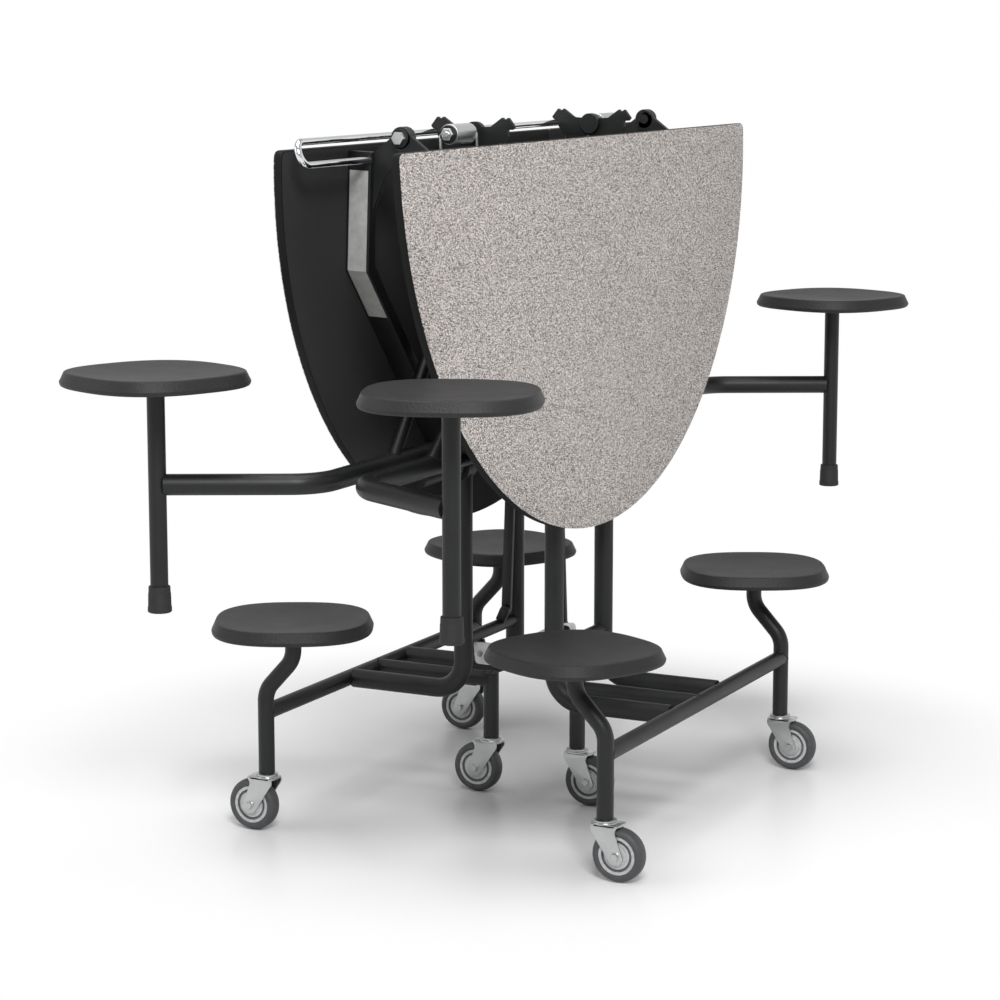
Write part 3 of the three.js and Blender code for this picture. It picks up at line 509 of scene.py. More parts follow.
def backing_sheet():
    """Phenolic balance sheet under the board: flat, dry and faintly fibrous."""
    material, tree, place, shader = surface(
        "phenolic_backing_sheet", IOR=1.5, Roughness=0.8, Specular_IOR_Level=0.2)
    # Fibres run along Y and are about 1 mm wide and 30 mm long
    fibre_size = (1 / (1 * MM), 1 / (30 * MM), 1 / (1 * MM))
    stretched = add_node(tree, "ShaderNodeMapping", inputs={"Vector": place, "Scale": fibre_size})
    fibres = add_node(tree, "ShaderNodeTexNoise", inputs={
        "Vector": stretched.outputs["Vector"], "Scale": 1.0})
    tone = add_node(tree, "ShaderNodeValToRGB",
                    {"ramp": [(0.3, linear("#2d2d2e")), (0.7, linear("#303031"))]},
                    {"Fac": fibres.outputs["Fac"]})
    return wired(material, shader, Base_Color=tone.outputs["Color"])


def chrome_plate():
    """Bright chrome on a drawn rod: a mirror with a faint haze where hands hold it."""
    material, tree, place, shader = surface("chrome_plate", Metallic=1.0, Base_Color=(*linear("#e4e6e8"), 1))
    haze = add_node(tree, "ShaderNodeTexNoise", inputs={
        "Vector": place, "Scale": 1 / (25 * MM), "Detail": 3.0})
    gloss = add_node(tree, "ShaderNodeMapRange", inputs={
        "Value": haze.outputs["Fac"], "From Min": 0.35, "From Max": 0.7, "To Min": 0.04, "To Max": 0.12})
    return wired(material, shader, Roughness=gloss.outputs["Result"])


def zinc_plate(name, dull, bright):
    """Bright zinc on steel: pale, smooth metal with a soft lustre."""
    material, tree, place, shader = surface(name, Metallic=1.0)
    cloud = add_node(tree, "ShaderNodeTexNoise", inputs={
        "Vector": place, "Scale": 1 / (40 * MM), "Detail": 2.0})
    tone = add_node(tree, "ShaderNodeValToRGB", {"ramp": [(0.3, linear(dull)), (0.7, linear(bright))]},
                    {"Fac": cloud.outputs["Fac"]})
    gloss = add_node(tree, "ShaderNodeMapRange", inputs={
        "Value": cloud.outputs["Fac"], "From Min": 0.3, "From Max": 0.7, "To Min": 0.3, "To Max": 0.36})
    return wired(material, shader, Base_Color=tone.outputs["Color"], Roughness=gloss.outputs["Result"])


def turned_steel():
    """Turned steel bar: fine rings from the lathe tool run round it and dull its shine."""
    material, tree, place, shader = surface("turned_steel", Metallic=1.0, Base_Color=(*linear("#cfd0d0"), 1))
    # Tool marks lie 0.8 mm apart along the shaft, drawn coarser than life so that they show
    rings = add_node(tree, "ShaderNodeTexWave", {"bands_direction": "Y"},
                     {"Vector": place, "Scale": 1 / (1.6 * MM * pi), "Distortion": 1.5})
    gloss = add_node(tree, "ShaderNodeMapRange", inputs={
        "Value": rings.outputs["Fac"], "To Min": 0.4, "To Max": 0.5})
    bump = add_node(tree, "ShaderNodeBump", inputs={
        "Height": rings.outputs["Fac"], "Strength": 0.15, "Distance": 0.05 * MM})
    return wired(material, shader, Roughness=gloss.outputs["Result"], Normal=bump.outputs["Normal"])


def coated_latch_plate():
    """Steel plate in a light grey coat, dulled by handling."""
    material, tree, place, shader = surface("light_grey_coated_plate", IOR=1.5)
    rub = add_node(tree, "ShaderNodeTexNoise", inputs={
        "Vector": place, "Scale": 1 / (18 * MM), "Detail": 5.0})
    tone = add_node(tree, "ShaderNodeValToRGB",
                    {"ramp": [(0.35, linear("#b9b9b8")), (0.6, linear("#d6d6d4"))]},
                    {"Fac": rub.outputs["Fac"]})
    gloss = add_node(tree, "ShaderNodeMapRange", inputs={
        "Value": rub.outputs["Fac"], "To Min": 0.3, "To Max": 0.55})
    return wired(material, shader, Base_Color=tone.outputs["Color"], Roughness=gloss.outputs["Result"])


def vinyl_film():
    """Plain grey vinyl pressed on the rail: smooth and soft in its sheen, a little rubbed and dusty."""
    material, tree, place, shader = surface("plain_vinyl_film", IOR=1.53, Specular_IOR_Level=0.35)
    dust = add_node(tree, "ShaderNodeTexNoise", inputs={
        "Vector": place, "Scale": 1 / (14 * MM), "Detail": 5.0})
    tone = add_node(tree, "ShaderNodeValToRGB",
                    {"ramp": [(0.3, linear("#9b9b99")), (0.7, linear("#adadab"))]},
                    {"Fac": dust.outputs["Fac"]})
    gloss = add_node(tree, "ShaderNodeMapRange", inputs={
        "Value": dust.outputs["Fac"], "From Min": 0.3, "From Max": 0.7, "To Min": 0.32, "To Max": 0.45})
    return wired(material, shader, Base_Color=tone.outputs["Color"], Roughness=gloss.outputs["Result"])


def moulded_rubber(name, colour, roughness):
    """Moulded rubber: matt, with a dusty bloom."""
    material, tree, place, shader = surface(name, IOR=1.5, Roughness=roughness)
    bloom = add_node(tree, "ShaderNodeTexNoise", inputs={
        "Vector": place, "Scale": 1 / (9 * MM), "Detail": 6.0})
    tone = add_node(tree, "ShaderNodeValToRGB",
                    {"ramp": [(0.35, shaded(colour, 0.88)), (0.7, shaded(colour, 1.15))]},
                    {"Fac": bloom.outputs["Fac"]})
    grain = add_node(tree, "ShaderNodeTexNoise", inputs={
        "Vector": place, "Scale": 1 / (0.8 * MM), "Detail": 2.0})
    bump = add_node(tree, "ShaderNodeBump", inputs={
        "Height": grain.outputs["Fac"], "Strength": 0.15, "Distance": 0.1 * MM})
    return wired(material, shader, Base_Color=tone.outputs["Color"], Normal=bump.outputs["Normal"])


def wheel_core_plastic():
    """Polypropylene wheel core: pale grey, waxy, with flow lines from the mould."""
    material, tree, place, shader = surface("polypropylene_wheel_core", IOR=1.49, Roughness=0.4)
    flow = add_node(tree, "ShaderNodeTexNoise", inputs={
        "Vector": place, "Scale": 1 / (12 * MM), "Detail": 3.0, "Distortion": 1.0})
    tone = add_node(tree, "ShaderNodeValToRGB",
                    {"ramp": [(0.3, linear("#a9aaac")), (0.7, linear("#c6c7c8"))]},
                    {"Fac": flow.outputs["Fac"]})
    return wired(material, shader, Base_Color=tone.outputs["Color"])


def make_finishes(colours):
    """All finishes of the table by short names."""
    return SimpleNamespace(
        frame=powder_coated_steel(tuple(colours.frame)),
        seat=moulded_seat_plastic(tuple(colours.seat)),
        laminate=speckled_laminate(tuple(colours.laminate)),
        edge=sprayed_edge(tuple(colours.edge)),
        back=backing_sheet(),
        chrome=chrome_plate(),
        zinc=zinc_plate("bright_zinc_plate", "#b8b9b9", "#c4c5c5"),
        # Painted highlight: the bolts take the same zinc made lighter, so that their heads look brighter than
        # the forks
        bolt=zinc_plate("zinc_bolts_painted_highlight", "#d4d5d5", "#e0e1e1"),
        steel=turned_steel(),
        latch=coated_latch_plate(),
        film=vinyl_film(),
        rubber=moulded_rubber("moulded_black_rubber", linear("#1d1d1f"), 0.7),
        tread=moulded_rubber("grey_rubber_tread", tuple(colours.tread), 0.55),
        # Painted shade: a darker grey for the recessed groove of the wheels
        painted_groove_shade=moulded_rubber("painted_groove_shade_grey", linear("#6c6c6a"), 0.5),
        core=wheel_core_plastic(),
    )


FINISHES = None


def finishes(context):
    """The finishes, made once."""
    global FINISHES
    if FINISHES is None:
        FINISHES = make_finishes(context.scene.stool_table.colours)
    return FINISHES


# Geometry Nodes trees

def new_tree(name, **inputs):
    """An empty geometry tree with a Geometry input, these further inputs and a Geometry output."""
    tree = bpy.data.node_groups.new(name, "GeometryNodeTree")
    tree.interface.new_socket("Geometry", in_out="INPUT", socket_type="NodeSocketGeometry")
    for label, kind in inputs.items():
        tree.interface.new_socket(label, in_out="INPUT", socket_type=f"NodeSocket{kind}")
    tree.interface.new_socket("Geometry", in_out="OUTPUT", socket_type="NodeSocketGeometry")
    return tree, add_node(tree, "NodeGroupInput").outputs


def end_tree(tree, geometry, material):
    """Ends a tree in smooth, realised geometry with one finish."""
    smooth = add_node(tree, "GeometryNodeSetShadeSmooth", inputs={"Geometry": geometry})
    real = add_node(tree, "GeometryNodeRealizeInstances", inputs={"Geometry": smooth.outputs["Geometry"]})
    painted = add_node(tree, "GeometryNodeSetMaterial", inputs={
        "Geometry": real.outputs["Geometry"], "Material": material})
    add_node(tree, "NodeGroupOutput", inputs={"Geometry": painted.outputs["Geometry"]})


def bent_tube_tree():
    """A round tube along each line of the source, with rounded bends and closed ends."""
    tree, inputs = new_tree("Bent tube", Radius="Float", Bend="Float", Finish="Material")
    line = add_node(tree, "GeometryNodeMeshToCurve", inputs={"Mesh": inputs["Geometry"]})
    bends = add_node(tree, "GeometryNodeFilletCurve", {"mode": "POLY"}, {
        "Curve": line.outputs["Curve"], "Count": BEND_STEPS, "Radius": inputs["Bend"], "Limit Radius": True})
    circle = add_node(tree, "GeometryNodeCurvePrimitiveCircle", inputs={
        "Resolution": TUBE_SIDES, "Radius": inputs["Radius"]})
    swept = add_node(tree, "GeometryNodeCurveToMesh", inputs={
        "Curve": bends.outputs["Curve"], "Profile Curve": circle.outputs["Curve"], "Fill Caps": True})
    end_tree(tree, swept.outputs["Mesh"], inputs["Finish"])
    return tree


def weld_bead_tree():
    """A rippled bead along each closed line of the source."""
    tree, inputs = new_tree("Weld bead", Radius="Float", Pitch="Float", Finish="Material")
    line = add_node(tree, "GeometryNodeMeshToCurve", inputs={"Mesh": inputs["Geometry"]})
    along = add_node(tree, "GeometryNodeSplineParameter").outputs["Length"]
    ripples = add_node(tree, "ShaderNodeMath", {"operation": "DIVIDE"}, {0: along, 1: inputs["Pitch"]})
    phase = add_node(tree, "ShaderNodeMath", {"operation": "MULTIPLY"}, {0: ripples.outputs[0], 1: 2 * pi})
    wave = add_node(tree, "ShaderNodeMath", {"operation": "SINE"}, {0: phase.outputs[0]})
    scale = add_node(tree, "ShaderNodeMath", {"operation": "MULTIPLY_ADD"},
                     {0: wave.outputs[0], 1: WELD_RIPPLE, 2: 1.0})
    circle = add_node(tree, "GeometryNodeCurvePrimitiveCircle", inputs={
        "Resolution": WELD_SIDES, "Radius": inputs["Radius"]})
    swept = add_node(tree, "GeometryNodeCurveToMesh", inputs={
        "Curve": line.outputs["Curve"], "Profile Curve": circle.outputs["Curve"], "Scale": scale.outputs[0]})
    end_tree(tree, swept.outputs["Mesh"], inputs["Finish"])
    return tree


def screw_tree():
    """A pan head screw on each point of the source, along Z."""
    tree, inputs = new_tree("Screw heads", Radius="Float", Finish="Material")
    height = add_node(tree, "ShaderNodeMath", {"operation": "MULTIPLY"}, {0: inputs["Radius"], 1: SCREW_RISE})
    crown = add_node(tree, "ShaderNodeMath", {"operation": "MULTIPLY"}, {0: inputs["Radius"], 1: SCREW_CROWN})
    head = add_node(tree, "GeometryNodeMeshCone", inputs={
        "Vertices": SCREW_SIDES, "Radius Top": crown.outputs[0], "Radius Bottom": inputs["Radius"],
        "Depth": height.outputs[0]})
    placed = add_node(tree, "GeometryNodeInstanceOnPoints", inputs={
        "Points": inputs["Geometry"], "Instance": head.outputs["Mesh"]})
    end_tree(tree, placed.outputs["Instances"], inputs["Finish"])
    return tree


def rib_tree():
    """Upright ribs set like spokes on the points of the source."""
    tree, inputs = new_tree("Seat ribs", Length="Float", Height="Float", Thickness="Float", Finish="Material")
    size = add_node(tree, "ShaderNodeCombineXYZ", inputs={
        "X": inputs["Length"], "Y": inputs["Thickness"], "Z": inputs["Height"]})
    rib = add_node(tree, "GeometryNodeMeshCube", inputs={"Size": size.outputs["Vector"]})
    outward = add_node(tree, "GeometryNodeInputPosition")
    level = add_node(tree, "ShaderNodeVectorMath", {"operation": "MULTIPLY"},
                     {0: outward.outputs["Position"], 1: (1, 1, 0)})
    turn = add_node(tree, "FunctionNodeAlignRotationToVector", {"axis": "X"},
                    {"Vector": level.outputs["Vector"]})
    placed = add_node(tree, "GeometryNodeInstanceOnPoints", inputs={
        "Points": inputs["Geometry"], "Instance": rib.outputs["Mesh"], "Rotation": turn.outputs["Rotation"]})
    end_tree(tree, placed.outputs["Instances"], inputs["Finish"])
    return tree


TREE_MAKERS = {"Bent tube": bent_tube_tree, "Weld bead": weld_bead_tree, "Screw heads": screw_tree,
               "Seat ribs": rib_tree}


def grow(tree_name, points, edges, **inputs):
    """Runs a tree on points and edges, and returns the result as a plain mesh."""
    tree = bpy.data.node_groups.get(tree_name) or TREE_MAKERS[tree_name]()
    source = bpy.data.meshes.new(tree_name)
    source.from_pydata([tuple(p) for p in points], edges, [])
    grower = bpy.data.objects.new(tree_name, source)
    bpy.context.collection.objects.link(grower)
    modifier = grower.modifiers.new(tree_name, "NODES")
    modifier.node_group = tree
    for item in tree.interface.items_tree:
        if item.in_out == "INPUT" and item.name in inputs:
            modifier[item.identifier] = inputs[item.name]
    evaluated = grower.evaluated_get(bpy.context.evaluated_depsgraph_get())
    mesh = bpy.data.meshes.new_from_object(evaluated)
    bpy.data.objects.remove(grower)
    bpy.data.meshes.remove(source)
    if not mesh.polygons:
        raise RuntimeError(f"{tree_name} made no faces")
    return mesh


# Shapes, in millimetres

def turned_half(side):
    """The place of one half of the table."""
    return Matrix.Rotation(0 if side == "right" else pi, 4, "Z")


def hung(side):
    """The place of one half top, hanging from the hinge axis with its face along +X."""
    return turned_half(side) @ Matrix.Translation((0, 0, HINGE_Z)) @ Matrix.Rotation(-LEAN, 4, "Y")


def end_name(side, y):
    """Whether an end of this half is near the camera or far from it."""
    return "near" if (y < 0) == (side == "right") else "far"


def facing_y(start, x=0, z=0):
    """A place whose own X, Y and Z run along X, Z and -Y, with its origin at a height along Y."""
    return Matrix.Translation((x, start, z)) @ Matrix.Rotation(pi / 2, 4, "X")


def facing_x(start):
    """A place whose own X, Y and Z run along Y, Z and X."""
    return Matrix(((0, 0, 1, start), (1, 0, 0, 0), (0, 1, 0, 0), (0, 0, 0, 1)))


def absorb(bm, mesh, place, finish=0):
    """Adds a grown mesh to a piece at a place, with one of the piece's finishes."""
    mesh.transform(place)
    first = len(bm.faces)
    bm.from_mesh(mesh)
    bpy.data.meshes.remove(mesh)
    bm.faces.ensure_lookup_table()
    for face in bm.faces[first:]:
        face.material_index = finish


def tubes(bm, lines, diameter, place, bend=0.0, finish=0):
    """Adds a tube along each line of corners."""
    points, edges = [], []
    for line in lines:
        edges += [(len(points) + i, len(points) + i + 1) for i in range(len(line) - 1)]
        points += line
    absorb(bm, grow("Bent tube", points, edges, Radius=diameter / 2, Bend=float(bend)), place, finish)


def saddle(centre, branch, branch_radius, main, main_radius, steps=56):
    """The line where a branch tube meets the skin of a main tube. Both axes pass through centre."""
    branch = branch.normalized()
    first = main.cross(branch).normalized()
    second = branch.cross(first)
    line = []
    for step in range(steps):
        angle = 2 * pi * step / steps
        offset = branch_radius * (cos(angle) * first + sin(angle) * second)
        along = branch.dot(main)
        a = 1 - along ** 2
        b = -offset.dot(main) * along
        c = branch_radius ** 2 - offset.dot(main) ** 2 - main_radius ** 2
        reach = (sqrt(max(b * b - a * c, 0)) - b) / a
        line.append(centre + offset + branch * reach)
    return line


def welds(bm, lines, sizes, place, finish=0):
    """Adds a weld bead along each closed line."""
    points, edges = [], []
    for line in lines:
        first, count = len(points), len(line)
        edges += [(first + i, first + (i + 1) % count) for i in range(count)]
        points += line
    absorb(bm, grow("Weld bead", points, edges, Radius=sizes.weld, Pitch=sizes.weld_pitch), place, finish)


def screws(bm, points, radius, place, finish=0):
    """Adds a screw head on each point, along the place's own Z."""
    absorb(bm, grow("Screw heads", points, [], Radius=float(radius)), place, finish)


def circle(radius, count, height=0, start=0):
    """Points set evenly round a circle about Z."""
    angles = [start + 2 * pi * i / count for i in range(count)]
    return [Vector((radius * cos(angle), radius * sin(angle), height)) for angle in angles]


def half_round(centre, radius, start, way=1, steps=LUG_STEPS):
    """Points on half a circle in a plane from an angle on, both ends included."""
    angles = [start + way * pi * i / steps for i in range(steps + 1)]
    return [Vector(centre) + radius * Vector((cos(angle), sin(angle))) for angle in angles]


def chamfered(radius, low, high, chamfer):
    """The outer profile of a disc or a sleeve with chamfered edges."""
    return [(radius - chamfer, low), (radius, low + chamfer), (radius, high - chamfer),
            (radius - chamfer, high)]


def turned(bm, profile, place, sides=ROUND_SIDES, finish=0, ring=False):
    """Turns a profile of (radius, height) about the place's own Z. A ring's last point meets its first.

    finish is one of the piece's finishes, or a list with one for each step of the profile.
    """
    rows = []
    for radius, height in profile:
        count = sides if radius > TINY else 1
        rows.append([bm.verts.new(place @ point) for point in circle(radius, count, height)])
    if ring:
        rows.append(rows[0])
    for step, (lower, upper) in enumerate(zip(rows, rows[1:])):
        for i in range(sides):
            corners = [lower[i % len(lower)], lower[(i + 1) % len(lower)],
                       upper[(i + 1) % len(upper)], upper[i % len(upper)]]
            face = bm.faces.new(list(dict.fromkeys(corners)))
            face.material_index = finish if isinstance(finish, int) else finish[step]


def rounded(points, radius, steps=5):
    """A closed outline with its corners rounded, less where a side is short."""
    result = []
    for i, point in enumerate(points):
        corner = Vector(point)
        before = Vector(points[i - 1]) - corner
        after = Vector(points[(i + 1) % len(points)]) - corner
        half = before.angle(after) / 2
        reach = min(radius / tan(half), before.length * ROUND_SHARE, after.length * ROUND_SHARE)
        if half > NEARLY_STRAIGHT:
            result.append(corner)
            continue
        start = corner + before.normalized() * reach
        end = corner + after.normalized() * reach
        for step in range(steps + 1):
            t = step / steps
            result.append((1 - t) ** 2 * start + 2 * t * (1 - t) * corner + t * t * end)
    return result


def plate(bm, outline, thickness, place, soften=0.8, finish=0, edge_finish=None):
    """Adds a flat plate with softened edges, its outline in the place's own XY and its thickness along Z."""
    bottom = [bm.verts.new((x, y, 0)) for x, y in outline]
    top = [bm.verts.new((x, y, thickness)) for x, y in outline]
    caps = [bm.faces.new(bottom[::-1]), bm.faces.new(top)]
    count = len(outline)
    sides = [bm.faces.new((bottom[i], bottom[(i + 1) % count], top[(i + 1) % count], top[i]))
             for i in range(count)]
    for face in caps:
        face.material_index = finish
    for face in sides:
        face.material_index = finish if edge_finish is None else edge_finish
    rim = [edge for face in caps for edge in face.edges]
    made = bmesh.ops.bevel(bm, geom=rim, offset=soften, segments=2, profile=0.6, affect="EDGES",
                           clamp_overlap=True)
    verts = set(bottom) | set(top) | set(made["verts"])
    bmesh.ops.transform(bm, matrix=place, verts=[v for v in verts if v.is_valid])


def hex_head(bm, place, radius, height, finish=0):
    """Adds a chamfered hexagon head that stands along the place's own Z."""
    profile = [(0, 0), (radius, 0), (radius, height * 0.8), (radius * 0.9, height), (0, height)]
    turned(bm, profile, place, 6, finish)


def piece(name, bm, materials, body, nodes=(), sharp=SHARP_ANGLE):
    """Turns a shape into a finished piece: metres, outward faces, smooth shading, finishes and body."""
    bmesh.ops.recalc_face_normals(bm, faces=bm.faces)
    mesh = bpy.data.meshes.new(name)
    for face in bm.faces:
        face.smooth = True
    bm.to_mesh(mesh)
    bm.free()
    mesh.transform(Matrix.Scale(MM, 4))
    for material in materials:
        mesh.materials.append(material)
    mesh.set_sharp_from_angle(angle=sharp)
    made = bpy.data.objects.new(name, mesh)
    bpy.context.collection.objects.link(made)
    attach(made, body)
    if nodes:
        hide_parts(*nodes)
    return made


# The half tops

def half_outline(top, inset):
    """The half oval of a top in its own Y and Z, drawn in by an inset."""
    width = top.half_width - inset
    depth = top.depth - inset
    edge = -EDGE_SETBACK - inset
    start = asin(TOP_CORNER_RADIUS / depth)
    points = []
    for step in range(OUTLINE_STEPS * 2 + 1):
        angle = pi - start - (pi - 2 * start) * step / (OUTLINE_STEPS * 2)
        points.append(Vector((width * cos(angle), edge - depth * sin(angle))))
    for hand in (1, -1):
        from_point = points[-1] if hand == 1 else Vector((-width + TOP_CORNER_RADIUS, edge))
        to_point = Vector((width - TOP_CORNER_RADIUS, edge)) if hand == 1 else points[0]
        corner = Vector((hand * width, edge))
        for step in range(1, CORNER_STEPS + 1 if hand == 1 else CORNER_STEPS):
            t = step / CORNER_STEPS
            points.append((1 - t) ** 2 * from_point + 2 * t * (1 - t) * corner + t * t * to_point)
        if hand == 1:
            points.append(Vector((-width + TOP_CORNER_RADIUS, edge)))
    return points


def layered(bm, outlines, place, cap_finishes, band_finish):
    """Adds a closed body through outlines of equal count, each given with its height along the place's Z."""
    rows = [[bm.verts.new(place @ Vector((x, y, height))) for x, y in outline]
            for outline, height in outlines]
    count = len(rows[0])
    for lower, upper in zip(rows, rows[1:]):
        for i in range(count):
            face = bm.faces.new((lower[i], lower[(i + 1) % count], upper[(i + 1) % count], upper[i]))
            face.material_index = band_finish
    for row, finish in zip((rows[0][::-1], rows[-1]), cap_finishes):
        bm.faces.new(row).material_index = finish


def board_back(top):
    """How far the back of a half top's board lies from the hinge axis."""
    return FACE_OFFSET - LAMINATE_THICKNESS - GAP - top.core


class TABLE_OT_tops(bpy.types.Operator):
    """Build the two half tops: board, sprayed edge and laminate face"""
    bl_idname = "stool_table.tops"
    bl_label = "Half tops"

    def execute(self, context):
        look = finishes(context)
        top = in_mm(context.scene.stool_table.top)
        back = board_back(top)
        turn = top.edge_round
        for side in SIDES:
            place = hung(side) @ facing_x(0)
            front = back + top.core
            steps = [(turn, back), (turn * 0.3, back + turn * 0.3), (0, back + turn), (0, front - turn * 0.5),
                     (turn * 0.15, front - turn * 0.15), (turn * 0.5, front)]
            bm = bmesh.new()
            layered(bm, [(half_outline(top, inset), height) for inset, height in steps], place, (0, 1), 1)
            piece(f"half_top_{side}", bm, (look.back, look.edge), f"top_{side}",
                  [f"top_panel_{side}"])
            bm = bmesh.new()
            sheet = [(LAMINATE_THICKNESS, FACE_OFFSET - LAMINATE_THICKNESS),
                     (LAMINATE_THICKNESS, FACE_OFFSET - LAMINATE_BEVEL),
                     (LAMINATE_THICKNESS + LAMINATE_BEVEL, FACE_OFFSET)]
            layered(bm, [(half_outline(top, inset), height) for inset, height in sheet], place, (0, 0), 0)
            piece(f"laminate_face_{side}", bm, (look.laminate,), f"top_{side}",
                  [f"laminate_{side}"])
        return {"FINISHED"}


def strip(line, half_width):
    """The outline of a strip of even width along a bent line."""
    points = [Vector(p) for p in line]
    ways = [(b - a).normalized() for a, b in zip(points, points[1:])]
    normals = [Vector((-way.y, way.x)) for way in ways]
    left, right = [], []
    for i, point in enumerate(points):
        first, second = normals[max(i - 1, 0)], normals[min(i, len(normals) - 1)]
        mitre = (first + second).normalized()
        offset = mitre * (half_width / mitre.dot(first))
        left.append(point + offset)
        right.append(point - offset)
    return left + right[::-1]


class TABLE_OT_rails(bpy.types.Operator):
    """Build the black channels, gussets and pivot lugs under the half tops"""
    bl_idname = "stool_table.rails"
    bl_label = "Rails and pivot lugs"

    def execute(self, context):
        look = finishes(context)
        sizes = in_mm(context.scene.stool_table.frame)
        seat_face = board_back(in_mm(context.scene.stool_table.top)) - GAP
        rail_face = seat_face - sizes.rail_depth
        for side in SIDES:
            self.rail_frame(side, sizes, rail_face, look)
            self.pivot_lugs(side, seat_face, look)
        self.plain_strip(sizes, rail_face, look)
        return {"FINISHED"}

    def rail_frame(self, side, sizes, rail_face, look):
        """Two bent channels, their gussets with bosses, and the head tube between their feet."""
        bm = bmesh.new()
        place = hung(side)
        rail_back = rail_face + sizes.rail_depth
        head = [Vector((PIVOT_OFFSET, end * HEAD_TUBE_HALF, -LEG_PIVOT_REACH)) for end in ENDS]
        tubes(bm, [head], sizes.head_tube, place)
        for end in ENDS:
            line = [(end * RAIL_Y, -RAIL_TOP_REACH), (end * RAIL_Y, -RAIL_BEND_REACH),
                    (end * RAIL_FOOT_Y, -LEG_PIVOT_REACH)]
            plate(bm, strip(line, sizes.rail_width / 2), sizes.rail_depth, place @ facing_x(rail_face),
                  soften=2.4)
            waist = rail_face * GUSSET_WAIST
            web = [(-BOSS_RADIUS * 0.7, -BOSS_RADIUS * 0.7), (0, BOSS_RADIUS * 0.98),
                   (waist, -RAIL_TOP_REACH * 0.35), (rail_face, -RAIL_TOP_REACH),
                   (rail_back, -RAIL_TOP_REACH), (rail_back, -GUSSET_REACH * 0.6),
                   (rail_face + 2.5, -GUSSET_REACH), (waist, -BOSS_RADIUS * 3.4)]
            face = place @ facing_y(end * RAIL_Y - GAP)
            plate(bm, rounded(web, 8), GUSSET_THICKNESS, face, soften=1.2)
            bore = SHAFT_RADIUS + GAP
            boss = [(bore, 0), *chamfered(BOSS_RADIUS, 0, GUSSET_THICKNESS, 1.5), (bore, GUSSET_THICKNESS)]
            turned(bm, boss, face, ring=True)
        # The inner boss holds a stub pin that the other half's outer boss turns on
        start, washer = RAIL_Y - GUSSET_THICKNESS - 2 * GAP, BOSS_FACE + GAP
        pin = [(0, start), (SHAFT_RADIUS, start), (SHAFT_RADIUS, washer),
               *chamfered(WASHER_RADIUS, washer, PIN_END, WASHER_CHAMFER), (0, PIN_END)]
        along = place @ Matrix.Rotation(-pi / 2, 4, "X")
        turned(bm, pin, along)
        # The hex head takes the bolts' lighter zinc, a painted highlight
        hex_head(bm, along @ Matrix.Translation((0, 0, PIN_END)), BOLT_RADIUS, BOLT_HEIGHT, 1)
        piece(f"rail_frame_dressed_{side}", bm, (look.frame, look.bolt), f"top_{side}",
              [f"rail_frame_{side}"])

    def plain_strip(self, sizes, rail_face, look):
        """A blank vinyl strip on the outside of the rail by the handle, folded round its bend."""
        bm = bmesh.new()
        bend, foot = Vector((RAIL_Y, -RAIL_BEND_REACH)), Vector((RAIL_FOOT_Y, -LEG_PIVOT_REACH))
        line = [Vector((RAIL_Y, -STRIP_TOP_REACH)), bend, bend + (foot - bend).normalized() * STRIP_TAIL]
        outside = strip(line, (sizes.rail_width + STRIP_FILM) / 2)[:len(line)]
        width = sizes.rail_depth - 2 * STRIP_MARGIN
        place = hung("left") @ facing_x(rail_face + STRIP_MARGIN)
        plate(bm, strip(outside, STRIP_FILM / 2), width, place, soften=STRIP_FILM / 8)
        piece("plain_strip", bm, (look.film,), "top_left")

    def pivot_lugs(self, side, back, look):
        """A screwed plate with two lugs that carry the hanger's tube."""
        bm = bmesh.new()
        place = hung(side)
        half = BLOCK_LENGTH / 2
        sheet = [(-BLOCK_HALF, -HANGER_REACH - half), (BLOCK_HALF, -HANGER_REACH - half),
                 (BLOCK_HALF, -HANGER_REACH + half), (-BLOCK_HALF, -HANGER_REACH + half)]
        plate(bm, rounded(sheet, 8), BLOCK_THICKNESS, place @ facing_x(back - BLOCK_THICKNESS), soften=1)
        web = [(back - 2, -HANGER_REACH - half + 2), (back - 2, -HANGER_REACH + half - 2),
               *half_round((PIVOT_OFFSET, -HANGER_REACH), BLOCK_EYE_RADIUS, pi / 2)]
        for end in ENDS:
            face = place @ facing_y(end * BLOCK_LUG_Y + BLOCK_THICKNESS / 2)
            plate(bm, web, BLOCK_THICKNESS, face, soften=1)
        heads = [(-y, -HANGER_REACH + z, 0) for y in BLOCK_SCREWS_Y for z in BLOCK_SCREWS_Z]
        over = place @ facing_x(back - BLOCK_THICKNESS) @ Matrix.Rotation(pi, 4, "Y")
        screws(bm, heads, BLOCK_SCREW_RADIUS, over, 1)
        piece(f"pivot_lugs_{side}", bm, (look.frame, look.zinc), f"top_{side}",
              [f"pivot_block_{side}"])


# The tube frames

def pin_lug(bm, place, tube, tube_radius, pin, lug_from, pin_to, steel=1):
    """Adds a flat lug from a tube to a pin, both in X and Z, and the pin that sticks out of it along Y."""
    away = (Vector(pin) - Vector(tube)).normalized()
    side = Vector((-away.y, away.x))
    half = LINK_WIDTH / 2
    root = Vector(tube) + away * (tube_radius - 1)
    web = [root + side * half, *half_round(pin, half, atan2(side.y, side.x), way=-1), root - side * half]
    plate(bm, web, LUG_THICKNESS, place @ facing_y(lug_from + LUG_THICKNESS))
    low, high = sorted((pin_to, lug_from + LUG_THICKNESS / 2))
    shank = [(0, low), (LINK_PIN_RADIUS - 1, low), (LINK_PIN_RADIUS, low + 1), (LINK_PIN_RADIUS, high),
             (0, high)]
    upright = place @ Matrix.Translation((pin[0], 0, pin[1])) @ Matrix.Rotation(-pi / 2, 4, "X")
    turned(bm, shank, upright, SMALL_SIDES, steel)


